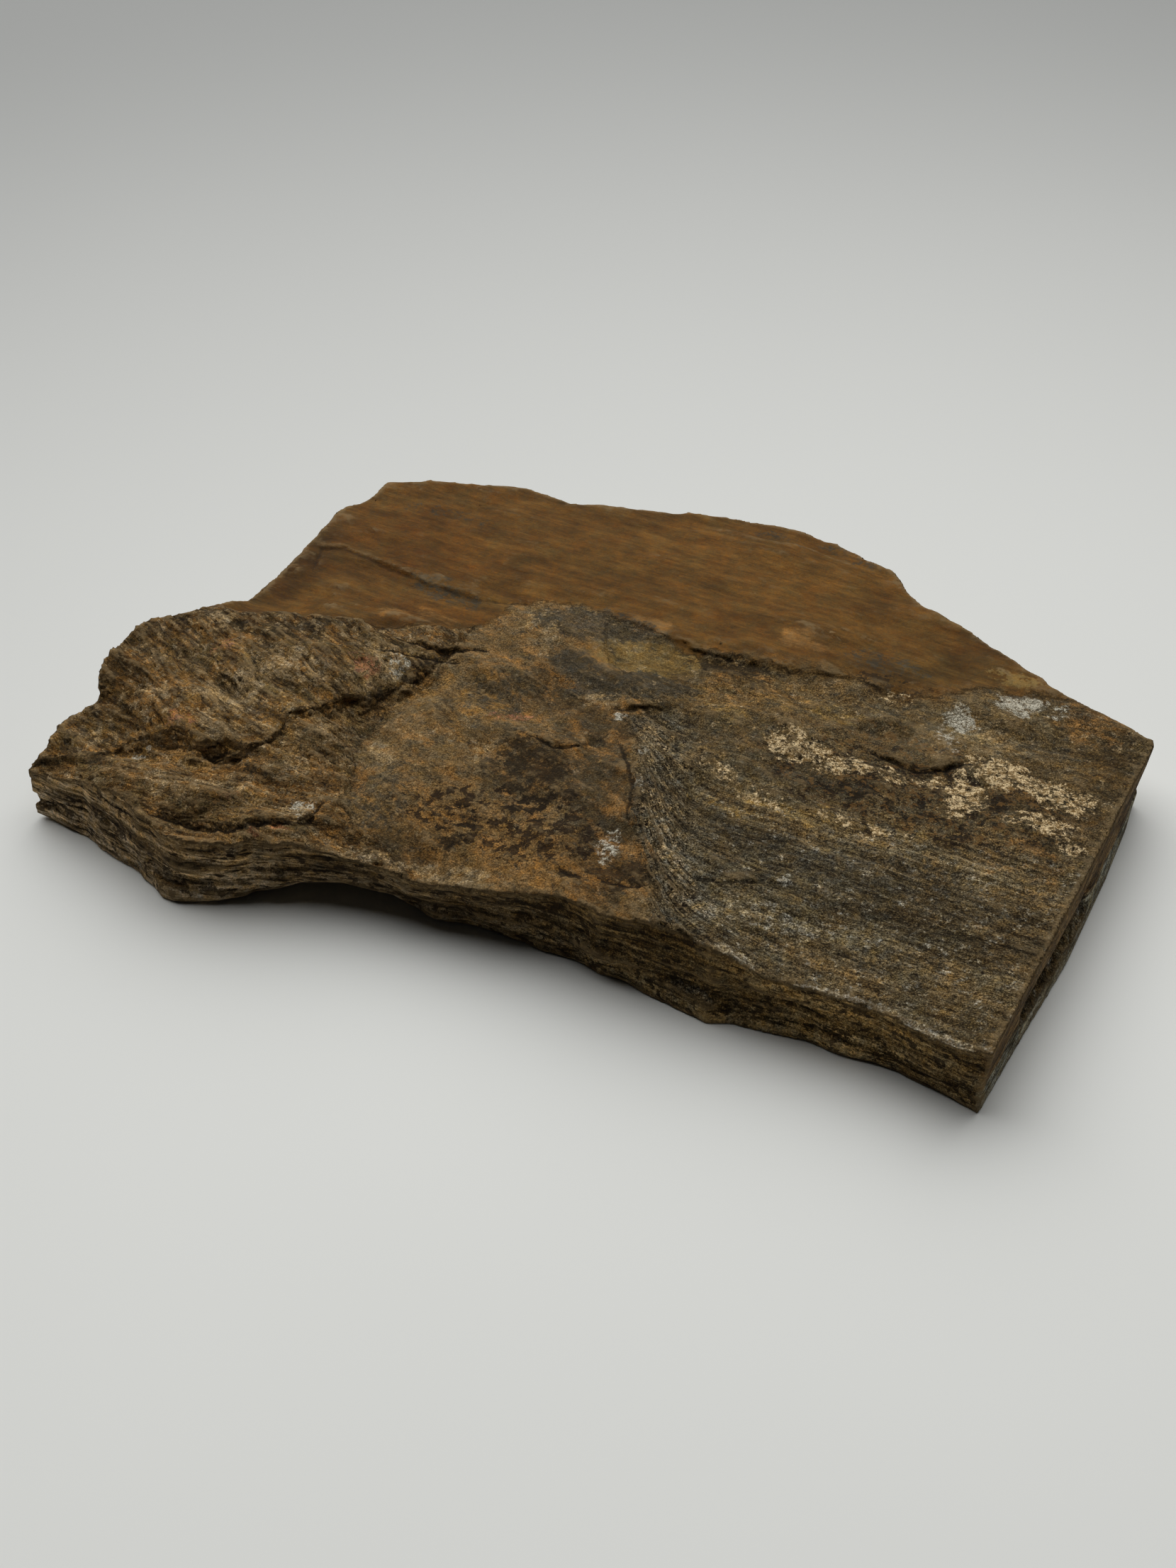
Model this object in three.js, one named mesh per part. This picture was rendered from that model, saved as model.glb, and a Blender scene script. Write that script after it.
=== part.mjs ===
import * as THREE from 'three';
import { ImprovedNoise } from 'three/addons/math/ImprovedNoise.js';

// A broken flagstone of banded schist, in millimetres. It lies on its flat cleavage face, with
// X along its length, Y across it and Z up through the layers. One end is sawn straight; every
// other edge is broken. Each list of places is anticlockwise seen from above, or runs with the
// higher ground on its left.

const SEED = 11;
const RIM_STEP = 5.2; // spacing of points along the edges
const TOP_STEP = 5.2; // spacing of points over the upper face
const UNDER_STEP = 12; // spacing of points over the underside
const RIM_CLEARANCE = 3.6; // how far the inner points stay from an edge
const LEDGE_HALF_WIDTH = 0.7; // half the width of a step seen from above
const LEDGE_SPACING = 1.2; // least distance between points beside steps
const FOLD_SPACING = 2.2; // least distance from a point on a fold to any other
const LEDGE_CLEARANCE = 2.8; // how far the scattered points stay from a step or crease
const LEDGE_REACH = 13; // how far a step lifts the ground behind it
const STRAY = 3.4; // how far steps and creases stray from their paths
const SPOT_BLEND = 9; // how softly the spot heights run together
const GRAIN_ANGLE = THREE.MathUtils.degToRad(-27); // run of the mineral streaks in plan
const EDGE_ROUGHNESS = 0.45; // how bumpy the upper edge is, beside 1 for the roughest ground
const SAWN_EDGE_ROUGHNESS = 0.15;
const NORMAL_REACH = 3; // points either side that set which way is inward
const CHIP_DEPTH = 0.7; // how ragged a broken edge is in plan
const SCATTER_JITTER = 0.45; // how far scattered points move, as a share of their spacing
const EDGE_GROUND = { roughness: 0.4, share: 0.35 }; // what the edge adds to the upper face
const FOOT_BLEND = 18; // how far the underside takes to fall from a raised foot
const SCAR_FLOOR = 0.75; // share of an underside scar's radius at full depth

// Bumps of the upper face: length along the streaks, width across them, height.
const BROAD_BUMP = { length: 34, width: 13, height: 4.2 };
const SMALL_BUMP = { length: 13, width: 6, height: 2.2 };
const TREAD = 0.8; // height of the treads that broad bumps break into
const STRAY_SCALE = 8; // length of the waves in a step or crease

// Where each use of the noise reads it, so that no two of them rise and fall together.
const NOISE_SHEET = {
  smallBump: 4, strayAlong: 31, strayAcross: 47, sawn: 2, relief: 9, chip: 3, drift: 20,
};
const LAYER_SHEET = { sawn: 3.7, relief: 2.3, chip: 4.1, drift: 1 }; // from one layer to the next

// The two corners of the sawn end, and how far its foot lies inside its top along its length.
const SAWN_NEAR = [98, -131, 23];
const SAWN_FAR = [163, -7, 23];
const SAWN_FOOT = [[0, 1.3], [0.22, 0.2], [0.45, -1.5], [0.72, -0.5], [0.88, 0.8], [1, 3]];
const SAWN_CORE = { from: 0.19, to: 0.57, depth: 2.6, elsewhere: 0.3, roughness: 0.8, waves: 30 };

// Broken edges: x, y, height of the upper edge, how far the foot lies inside it, foot height.
const BACK_EDGE = [
  [153, 5, 23, 3, 0], [137, 20, 23, 3, 0], [126, 36, 24, 3, 0], [116, 50, 24, 4, 1],
  [104, 61, 24, 3, 1], [97, 82, 24, 2, 0], [81, 98, 24, 3, 0], [68, 106, 25, 4, 0],
  [47, 113, 25, 4, 1], [23, 116, 26, 3, 2], [-7, 120, 26, 3, 0], [-22, 129, 26, 5, 0],
  [-55, 131, 27, 4, 0], [-69, 131, 27, 3, 0],
];
const LEFT_SHOULDER = [
  [-75, 121, 27, 2, 0], [-82, 117, 27, 2, 0], [-92, 92, 27, 3, 1], [-103, 68, 28, 3, 1],
  [-107, 60, 28, 3, 0],
];
const MOUND_EDGE = [
  [-112, 55, 31, 3, 0], [-118, 46, 34, 4, 0], [-127, 40, 36, 6, 0], [-133, 38, 36, 6, 0],
  [-138, 33, 36, 6, 0], [-142, 22, 35, 7, 0], [-146, 13, 33, 8, 0],
];
const LEFT_TIP = [
  [-145, 8, 28, 5, 0], [-153, 1, 26, 4, 0], [-157, -5, 24, 3, 0], [-163, -13, 19, 1, 1],
];
const FRONT_EDGE = [
  [-146, -23, 22, -1, 0], [-129, -37, 24, -2, 0], [-116, -50, 24, 0, 0], [-106, -53, 23, 1, 1],
  [-93, -53, 24, 1, 3], [-82, -54, 24, 2, 4], [-70, -56, 23, 3, 4], [-57, -60, 22, 5, 3],
  [-46, -65, 21, 7, 1], [-28, -71, 23, 8, 0], [-10, -76, 25, 4, 0], [1, -84, 26, 3, 0],
  [18, -89, 27, 0, 0], [31, -96, 25, -1, 0], [42, -102, 23, 1, 0], [59, -110, 22, 4, 0],
  [71, -116, 22, 4, 0], [89, -128, 22, 3, 0],
];

// Spot heights over the upper face: x, y, height and how rough the ground is there.
const MOUND_SPOTS = [
  [-127, 30, 36, 1], [-105, 25, 36, 0.8], [-85, 20, 35, 0.7], [-66, 25, 33, 0.7],
  [-112, 5, 35, 1], [-97, -4, 34, 0.8], [-81, 8, 34, 0.7], [-58, 36, 31, 0.7],
  [-100, 38, 35, 0.8], [-80, 38, 33, 0.8],
];
const HUMMOCK_SPOTS = [
  [-134, 2, 32, 1.4], [-131, -17, 29, 1.6], [-121, -20, 29, 1.6], [-106, -33, 29, 1.5],
  [-91, -28, 31, 1.5],
  [-78, -15, 31, 1.2], [-68, 2, 30, 1], [-126, -33, 26, 1.4], [-101, -46, 25, 1],
  [-85, -45, 26, 1], [-75, -36, 27, 1], [-142, -14, 25, 1.2], [-152, -11, 22, 1],
];
const CENTRE_SPOTS = [
  [-58, -20, 28, 0.35], [-45, -8, 28, 0.25], [-30, -30, 27, 0.35], [-45, -45, 25, 0.35],
  [-25, -60, 25, 0.35], [-60, -50, 24, 0.6], [-10, -50, 27, 0.6], [-2, -70, 27, 0.7],
  [-20, 0, 28, 0.7], [-2, -12, 28, 0.7], [-5, 30, 28, 0.6], [14, 12, 27, 0.6],
];
const RIGHT_SPOTS = [
  [15, -30, 29, 0.9], [16, -55, 29, 0.9], [18, -78, 28, 0.9], [35, -40, 26, 0.25],
  [35, -80, 26, 0.25], [60, -60, 25, 0.15], [60, -95, 23, 0.15], [85, -110, 22, 0.15],
  [90, -80, 23, 0.15], [90, -50, 24, 0.25], [70, -25, 26, 0.9], [110, -45, 24, 0.25],
  [130, -22, 24, 0.8], [148, -4, 23, 0.7], [120, 10, 25, 0.9], [90, -4, 26, 1],
  [60, 0, 27, 1], [40, -8, 28, 1],
];
const BACK_SPOTS = [
  [30, 50, 28, 0.25], [60, 38, 28, 0.35], [92, 28, 26, 0.35], [112, 30, 25, 0.25],
  [98, 52, 25, 0.15], [50, 62, 27, 0.15], [78, 72, 25, 0.15], [50, 90, 26, 0.15], [0, 80, 27, 0.15],
  [0, 105, 26, 0.15], [-30, 95, 27, 0.15], [-60, 110, 27, 0.15], [-60, 62, 27, 0.25],
  [-95, 60, 27, 0.25], [-35, 58, 27, 0.25], [-15, 46, 28, 0.35],
];

// Steps in the upper face: x, y and drop at each point, with the higher side on the left.
const LEDGES = {
  moundBack: [[-38, 44, 0], [-56, 40, 2], [-76, 42, 3], [-96, 44, 4], [-112, 45, 5]],
  moundFront: [
    [-139, -13, 0], [-132, -10, 1.5], [-120, -11, 2], [-112, -17, 3], [-107, -20, 4],
    [-98, -20, 3.5], [-91, -17, 3], [-85, -7, 2.5], [-74, 1, 2], [-62, 8, 2], [-50, 18, 1.5],
    [-42, 26, 0],
  ],
  notch: [[-144, 12, 2], [-138, 9, 2], [-130, 4, 1], [-122, 2, 0]],
  moundLip: [[-68, 34, 0], [-57, 33, 1.6], [-48, 29, 2], [-40, 28, 1.6], [-32, 31, 1], [-24, 36, 0]],
  hummockCrack: [[-98, -44, 0], [-95, -34, 1.8], [-97, -24, 0]],
  rustSheet: [
    [-88, 78, 0], [-87, 89, 0.8], [-80, 88, 1], [-62, 76, 1.2], [-50, 67, 1.4], [-35, 61, 1.4],
    [-18, 57, 0],
  ],
  rustFront: [
    [-2, 56, 0], [14, 46, 1.2], [23, 38, 1.6], [33, 31, 2.2], [45, 28, 2.2], [60, 23, 1.6],
    [78, 20, 1.2], [90, 13, 1], [104, 12, 0],
  ],
  olivePane: [[-14, 20, 0], [-7, 11, 1], [1, 5, 1.8], [11, 3, 2], [20, 4, 1.6], [29, 8, 0]],
  hookCrack: [[-17, -11, 0], [-11, -16, 1.6], [-4, -16, 1.6], [2, -12, 1.2], [6, -8, 0]],
  creamStep: [[76, -12, 0], [85, -18, 1.4], [92, -22, 1.6], [100, -22, 1.4], [110, -18, 0]],
  plateEdge: [[20, -84, 0], [24, -74, 1], [25, -50, 1.2], [28, -30, 1], [24, -12, 0]],
  plateStep: [[27, -70, 1], [34, -72, 1.5], [43, -71, 1.2], [52, -71, 1], [64, -75, 0]],
  frontShelf: [
    [-122, -40, 0], [-110, -45, 2], [-101, -49, 2.4], [-90, -48, 2.4], [-80, -47, 2], [-74, -38, 0],
  ],
  backStrip: [[96, 74, 0], [84, 84, 1.2], [62, 96, 1.6], [48, 102, 1.2], [30, 108, 0]],
};

// Creases and ridges: x, y and height of the fold line at each point, with the fold's half width.
const FOLDS = {
  diagonalValley: {
    halfWidth: 13,
    path: [
      [-38, 28, 0], [-44, 20, -3], [-54, 11, -4.5], [-61, 1, -5], [-66, -10, -5], [-68, -22, -4],
      [-68, -38, 0],
    ],
  },
  paleRidge: {
    halfWidth: 9,
    path: [[10, 0, 0], [14, -14, 1.5], [15, -34, 2], [14, -55, 2], [15, -72, 1.5], [18, -82, 0.5]],
  },
  shoulderCrease: {
    halfWidth: 8,
    path: [[-128, 26, 0], [-117, 21, -2], [-105, 6, -2.6], [-94, -8, 0]],
  },
  frontFurrow: { halfWidth: 8, path: [[-74, -40, 0], [-64, -50, -2.2], [-53, -56, 0]] },
  backRib: { halfWidth: 9, path: [[40, 96, 0], [62, 88, 1], [92, 70, 0]] },
};

// Hollows: x, y, radius, depth.
const PITS = [[-104, -19, 5, 3], [-139, -13, 6, 1.8], [-28, 66, 9, 1.2], [56, 14, 9, 1.4],
  [88, 8, 10, 1.2], [-20, -40, 12, 0.8]];
const UNDER_SCARS = [[-95, 20, 38, 2.5], [60, 70, 34, 2], [118, -48, 26, 1.5], [-60, 100, 24, 2.5]];

// Bites out of the sides: x, y, radius along the edge, lowest and highest height, depth.
const SIDE_BITES = [
  [-146, 11, 9, 20, 30, 4], [163, -7, 12, 7, 15, 2], [-70, -56, 26, 0, 7, 7],
  [97, 82, 22, 6, 13, 3], [-92, 92, 24, 9, 17, 3], [10, 118, 26, 0, 9, 4], [-22, 129, 18, 12, 20, 3],
  [45, -104, 18, 3, 12, 2],
];

// Bedding seen in the sides: fractions of the way from the upper edge to the foot where each
// layer starts and ends, and how far the layers stand in or out of each other.
const LAYERS = [[0, 0.3], [0.36, 0.49], [0.55, 0.68], [0.74, 1]];
const LAYER_RELIEF = 2.8;
const TOP_LAYER_SHARE = 0.5; // the upper layer's relief beside that of the others
const LAYER_WAVE = 26; // length of the waves in a layer
const LAYER_CHIP = { length: 7, depth: 0.9 };
const LAYER_DRIFT = { length: 40, share: 0.05 }; // how the layers' heights wander

const noise = new ImprovedNoise();

function seededRandom(seed) {
  let state = seed;
  return () => {
    state = (state * 1664525 + 1013904223) % 4294967296;
    return state / 4294967296;
  };
}

const random = seededRandom(SEED);

function lerpRow(a, b, t) {
  return a.map((value, i) => value + (b[i] - value) * t);
}

// Uneven ground drawn out along the mineral streaks, broken into small treads.
function bumps(x, y, layer) {
  const along = x * Math.cos(GRAIN_ANGLE) + y * Math.sin(GRAIN_ANGLE);
  const across = y * Math.cos(GRAIN_ANGLE) - x * Math.sin(GRAIN_ANGLE);
  const broad = noise.noise(along / BROAD_BUMP.length, across / BROAD_BUMP.width, layer);
  const sheet = layer + NOISE_SHEET.smallBump;
  const small = noise.noise(along / SMALL_BUMP.length, across / SMALL_BUMP.width, sheet);
  const level = (BROAD_BUMP.height * broad) / TREAD;
  const within = level - Math.floor(level);
  const stepped = TREAD * (Math.floor(level) + THREE.MathUtils.smoothstep(within, 0.3, 0.7));
  return stepped + SMALL_BUMP.height * small;
}

// How far a step or crease strays from its path, so that it looks torn and not drawn.
function stray(x, y) {
  const [u, v] = [x / STRAY_SCALE, y / STRAY_SCALE];
  return [
    STRAY * noise.noise(u, v, NOISE_SHEET.strayAlong),
    STRAY * noise.noise(u, v, NOISE_SHEET.strayAcross),
  ];
}

// Edge stations all round the stone, each { x, y, top, inset, foot, sawn }.
function edgeStations() {
  const sawn = SAWN_FOOT.map(([share, inset]) => {
    const [x, y, top] = lerpRow(SAWN_NEAR, SAWN_FAR, share);
    return { x, y, top, inset, foot: 0, sawn: share };
  });
  const broken = [...BACK_EDGE, ...LEFT_SHOULDER, ...MOUND_EDGE, ...LEFT_TIP, ...FRONT_EDGE];
  return [...sawn, ...broken.map(([x, y, top, inset, foot]) => ({ x, y, top, inset, foot, sawn: -1 }))];
}

function subdivideEdge(stations) {
  const points = [];
  stations.forEach((from, i) => {
    const to = stations[(i + 1) % stations.length];
    const isSawn = from.sawn >= 0 && to.sawn > 0;
    const length = Math.hypot(to.x - from.x, to.y - from.y);
    const pieces = Math.max(1, Math.round(length / RIM_STEP));
    for (let k = 0; k < pieces; k++) {
      const t = k / pieces;
      const ragged = isSawn || from.sawn >= 0 ? 0 : CHIP_DEPTH * (2 * random() - 1);
      const mix = (key) => from[key] + (to[key] - from[key]) * t;
      const x = mix('x') + (ragged * (to.y - from.y)) / length;
      const y = mix('y') - (ragged * (to.x - from.x)) / length;
      points.push({
        x,
        y,
        top: mix('top') + (isSawn ? SAWN_EDGE_ROUGHNESS : EDGE_ROUGHNESS) * bumps(x, y, 0),
        inset: mix('inset'),
        foot: mix('foot'),
        sawn: isSawn ? mix('sawn') : -1,
      });
    }
  });
  return points;
}

function addInwardDirections(points) {
  const count = points.length;
  points.forEach((point, i) => {
    const before = points[(i + count - NORMAL_REACH) % count];
    const after = points[(i + NORMAL_REACH) % count];
    const run = Math.hypot(after.x - before.x, after.y - before.y);
    point.inward = point.sawn >= 0
      ? sawnInward()
      : [-(after.y - before.y) / run, (after.x - before.x) / run];
  });
}

function sawnInward() {
  const dx = SAWN_FAR[0] - SAWN_NEAR[0];
  const dy = SAWN_FAR[1] - SAWN_NEAR[1];
  const run = Math.hypot(dx, dy);
  return [-dy / run, dx / run];
}

// The nearest place on a path: its distance, which side the point is on, and the path's value.
function nearestOnPath(x, y, path) {
  let best = { distance: Infinity, side: 1, value: 0 };
  for (let i = 0; i + 1 < path.length; i++) {
    const [ax, ay, av] = path[i];
    const [bx, by, bv] = path[i + 1];
    const dx = bx - ax;
    const dy = by - ay;
    const share = THREE.MathUtils.clamp(((x - ax) * dx + (y - ay) * dy) / (dx * dx + dy * dy), 0, 1);
    const distance = Math.hypot(x - ax - share * dx, y - ay - share * dy);
    if (distance < best.distance) {
      const side = dx * (y - ay) - dy * (x - ax) > 0 ? 1 : -1;
      best = { distance, side, value: av + (bv - av) * share };
    }
  }
  return best;
}

function pathPoints(path, spacing) {
  const points = [];
  for (let i = 0; i + 1 < path.length; i++) {
    const [ax, ay] = path[i];
    const [bx, by] = path[i + 1];
    const length = Math.hypot(bx - ax, by - ay);
    const pieces = Math.max(1, Math.round(length / spacing));
    const normal = [-(by - ay) / length, (bx - ax) / length];
    for (let k = 0; k < pieces; k++) {
      const [x, y] = lerpRow([ax, ay], [bx, by], k / pieces);
      const [strayX, strayY] = stray(x, y);
      points.push({ x: x - strayX, y: y - strayY, normal });
    }
  }
  return points.slice(1);
}

const SPOTS = [...MOUND_SPOTS, ...HUMMOCK_SPOTS, ...CENTRE_SPOTS, ...RIGHT_SPOTS, ...BACK_SPOTS];

// Height of the upper face at a place, from the spot heights, the edge and the local relief.
function upperHeight(x, y, edge) {
  let weightSum = 0;
  let height = 0;
  let roughness = 0;
  const include = (px, py, pz, rough, share) => {
    const spread = (x - px) ** 2 + (y - py) ** 2 + SPOT_BLEND ** 2;
    const weight = share / spread ** 2;
    weightSum += weight;
    height += weight * pz;
    roughness += weight * rough;
  };
  SPOTS.forEach(([px, py, pz, rough]) => include(px, py, pz, rough, 1));
  for (const { x: px, y: py, top } of edge) {
    include(px, py, top, EDGE_GROUND.roughness, EDGE_GROUND.share);
  }
  height /= weightSum;
  roughness /= weightSum;
  const [strayX, strayY] = stray(x, y);
  for (const path of Object.values(LEDGES)) {
    const { distance, side, value } = nearestOnPath(x + strayX, y + strayY, path);
    height += side * 0.5 * value * Math.exp(-distance / LEDGE_REACH);
  }
  for (const { path, halfWidth } of Object.values(FOLDS)) {
    const { distance, value } = nearestOnPath(x + strayX, y + strayY, path);
    height += value * Math.max(0, 1 - distance / halfWidth);
  }
  for (const [px, py, radius, depth] of PITS) {
    const distance = Math.hypot(x - px, y - py) / radius;
    height -= depth * Math.max(0, 1 - distance * distance);
  }
  return height + roughness * bumps(x, y, 0);
}

function insideOutline(x, y, outline) {
  let inside = false;
  outline.forEach((a, i) => {
    const b = outline[(i + 1) % outline.length];
    const crosses = a.y > y !== b.y > y;
    if (crosses && x < a.x + ((y - a.y) / (b.y - a.y)) * (b.x - a.x)) {
      inside = !inside;
    }
  });
  return inside;
}

function clearOf(x, y, points, clearance) {
  return points.every((point) => Math.hypot(point.x - x, point.y - y) >= clearance);
}

// Scattered points inside an outline, on a loose triangular pattern.
function scatter(outline, spacing, clearance, isFree) {
  const rim = outline.flatMap((a, i) => {
    const b = outline[(i + 1) % outline.length];
    return [a, { x: (a.x + b.x) / 2, y: (a.y + b.y) / 2 }];
  });
  const box = new THREE.Box2().setFromPoints(outline);
  const points = [];
  const rowHeight = (spacing * Math.sqrt(3)) / 2;
  let shift = 0;
  for (let rowY = box.min.y; rowY < box.max.y; rowY += rowHeight) {
    shift = spacing / 2 - shift;
    for (let columnX = box.min.x + shift; columnX < box.max.x; columnX += spacing) {
      const x = columnX + SCATTER_JITTER * spacing * (random() - 0.5);
      const y = rowY + SCATTER_JITTER * spacing * (random() - 0.5);
      if (insideOutline(x, y, outline) && clearOf(x, y, rim, clearance) && isFree(x, y)) {
        points.push({ x, y });
      }
    }
  }
  return points;
}

// Triangles, anticlockwise, joining points inside an outline whose points come first: each new
// point replaces the triangles whose circumcircle holds it.
function triangulate(points, outline) {
  const far = 5000;
  const all = [...points, { x: -far, y: -far }, { x: far, y: -far }, { x: 0, y: far }];
  const withCircle = (a, b, c) => {
    const [p, q, r] = [all[a], all[b], all[c]];
    const qx = q.x - p.x;
    const qy = q.y - p.y;
    const rx = r.x - p.x;
    const ry = r.y - p.y;
    const twice = 2 * (qx * ry - qy * rx);
    const cx = (ry * (qx * qx + qy * qy) - qy * (rx * rx + ry * ry)) / twice;
    const cy = (qx * (rx * rx + ry * ry) - rx * (qx * qx + qy * qy)) / twice;
    return { corners: [a, b, c], x: p.x + cx, y: p.y + cy, radiusSquared: cx * cx + cy * cy };
  };
  let triangles = [withCircle(points.length, points.length + 1, points.length + 2)];
  points.forEach((point, index) => {
    const openEdges = new Map();
    triangles = triangles.filter((triangle) => {
      const gap = (point.x - triangle.x) ** 2 + (point.y - triangle.y) ** 2;
      if (gap >= triangle.radiusSquared) {
        return true;
      }
      triangle.corners.forEach((a, i) => {
        const b = triangle.corners[(i + 1) % 3];
        if (!openEdges.delete(`${b},${a}`)) {
          openEdges.set(`${a},${b}`, [a, b]);
        }
      });
      return false;
    });
    for (const [a, b] of openEdges.values()) triangles.push(withCircle(a, b, index));
  });
  return triangles
    .map((triangle) => triangle.corners)
    .filter((corners) => corners.every((corner) => corner < points.length))
    .filter(([a, b, c]) => insideOutline(
      (all[a].x + all[b].x + all[c].x) / 3,
      (all[a].y + all[b].y + all[c].y) / 3,
      outline,
    ));
}

// Points in pairs astride each step, then along each fold, left out where they would crowd.
function featurePoints(edge) {
  const candidates = [];
  for (const path of Object.values(LEDGES)) {
    for (const { x, y, normal } of pathPoints(path, TOP_STEP)) {
      for (const side of [-LEDGE_HALF_WIDTH, LEDGE_HALF_WIDTH]) {
        candidates.push({ x: x + side * normal[0], y: y + side * normal[1], spacing: LEDGE_SPACING });
      }
    }
  }
  for (const { path } of Object.values(FOLDS)) {
    candidates.push(...pathPoints(path, TOP_STEP).map(({ x, y }) => ({ x, y, spacing: FOLD_SPACING })));
  }
  const placed = [];
  for (const { x, y, spacing } of candidates) {
    if (clearOf(x, y, edge, RIM_CLEARANCE) && clearOf(x, y, placed, spacing)) {
      placed.push({ x, y });
    }
  }
  return placed;
}

function upperFace(edge) {
  const features = featurePoints(edge);
  const isFree = (x, y) => clearOf(x, y, features, LEDGE_CLEARANCE);
  const points = [...features, ...scatter(edge, TOP_STEP, RIM_CLEARANCE, isFree)];
  return points.map(({ x, y }) => ({ x, y, z: upperHeight(x, y, edge) }));
}

function layerNoise(u, v, layer, use) {
  return noise.noise(u, v, layer * LAYER_SHEET[use] + NOISE_SHEET[use]);
}

// How far a side stands inside the upper edge, at a share of the way down to the foot.
function sideInset(point, share, layer) {
  const height = point.top + (point.foot - point.top) * share;
  let inset = point.inset * share;
  if (point.sawn >= 0) {
    const isCore = layer === 1 || layer === 2;
    const isOpen = point.sawn > SAWN_CORE.from && point.sawn < SAWN_CORE.to;
    const along = point.sawn * SAWN_CORE.waves;
    const torn = SAWN_CORE.roughness * noise.noise(along, layer * LAYER_SHEET.sawn, NOISE_SHEET.sawn);
    const depth = isOpen ? SAWN_CORE.depth + torn : SAWN_CORE.elsewhere;
    inset += isCore ? depth : 0;
  } else {
    const relief = layer > 0 ? LAYER_RELIEF : TOP_LAYER_SHARE * LAYER_RELIEF;
    const chip = LAYER_CHIP.length;
    inset += relief * layerNoise(point.x / LAYER_WAVE, point.y / LAYER_WAVE, layer, 'relief');
    inset += LAYER_CHIP.depth * layerNoise(point.x / chip, point.y / chip, layer, 'chip');
  }
  for (const [x, y, radius, low, high, depth] of SIDE_BITES) {
    const distance = Math.hypot(point.x - x, point.y - y) / radius;
    const isWithin = height >= low && height <= high && distance < 1;
    inset += isWithin ? depth * (1 - distance * distance) : 0;
  }
  return inset;
}

function sideRows(edge) {
  const rows = [];
  LAYERS.forEach((ends, layer) => {
    for (const share of ends.filter((end) => end > 0)) {
      rows.push(edge.map((point) => {
        const inset = sideInset(point, share, layer);
        const isBed = share < 1 && point.sawn < 0;
        const [u, v] = [point.x / LAYER_DRIFT.length, point.y / LAYER_DRIFT.length];
        const drift = isBed ? LAYER_DRIFT.share * layerNoise(u, v, layer, 'drift') : 0;
        return {
          x: point.x + inset * point.inward[0],
          y: point.y + inset * point.inward[1],
          z: point.top + (point.foot - point.top) * (share + drift),
        };
      }));
    }
  });
  return rows;
}

// The underside is flat, with shallow scars, and rises to the foot where that stands clear.
function underHeight(x, y, foot) {
  let height = 0;
  for (const [px, py, radius, depth] of UNDER_SCARS) {
    const distance = Math.hypot(x - px, y - py);
    const fall = THREE.MathUtils.smoothstep(distance, SCAR_FLOOR * radius, radius);
    height = Math.max(height, depth * (1 - fall));
  }
  const nearest = foot.reduce((best, point) => {
    const distance = Math.hypot(point.x - x, point.y - y);
    return distance < best.distance ? { distance, z: point.z } : best;
  }, { distance: Infinity, z: 0 });
  const fall = THREE.MathUtils.smoothstep(nearest.distance, 0, FOOT_BLEND);
  return Math.max(height, nearest.z * (1 - fall));
}

function stoneGeometry() {
  const edge = subdivideEdge(edgeStations());
  addInwardDirections(edge);
  const rows = [edge.map(({ x, y, top }) => ({ x, y, z: top })), ...sideRows(edge)];
  const foot = rows[rows.length - 1];
  const upper = upperFace(edge);
  const under = scatter(foot, UNDER_STEP, RIM_CLEARANCE, () => true)
    .map(({ x, y }) => ({ x, y, z: underHeight(x, y, foot) }));

  const count = edge.length;
  const vertices = [...rows.flat(), ...upper, ...under];
  const footStart = (rows.length - 1) * count;
  const upperStart = rows.length * count;
  const underStart = upperStart + upper.length;
  const faces = [];
  for (const corners of triangulate([...rows[0], ...upper], rows[0])) {
    faces.push(corners.map((corner) => (corner < count ? corner : corner - count + upperStart)));
  }
  for (let row = 0; row + 1 < rows.length; row++) {
    for (let i = 0; i < count; i++) {
      const next = (i + 1) % count;
      const [a, b] = [row * count + i, row * count + next];
      const [c, d] = [a + count, b + count];
      faces.push(...((row + i) % 2 ? [[a, c, b], [b, c, d]] : [[a, c, d], [a, d, b]]));
    }
  }
  for (const [a, b, c] of triangulate([...foot, ...under], foot)) {
    const shift = (corner) => (corner < count ? corner + footStart : corner - count + underStart);
    faces.push([shift(c), shift(b), shift(a)]);
  }

  const geometry = new THREE.BufferGeometry();
  const positions = vertices.flatMap(({ x, y, z }) => [x, y, z]);
  geometry.setAttribute('position', new THREE.Float32BufferAttribute(positions, 3));
  geometry.setIndex(faces.flat());
  geometry.computeBoundingBox();
  const { min, max } = geometry.boundingBox;
  geometry.translate(-(min.x + max.x) / 2, -(min.y + max.y) / 2, -min.z);
  geometry.computeVertexNormals();
  return geometry;
}

const rock = new THREE.MeshStandardMaterial({ color: 0x6b5238, roughness: 0.85, metalness: 0 });
rock.flatShading = true;

const flagstone = new THREE.Mesh(stoneGeometry(), rock);
flagstone.name = 'flagstone';

const part = new THREE.Group();
part.add(flagstone);

export default part;
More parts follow.
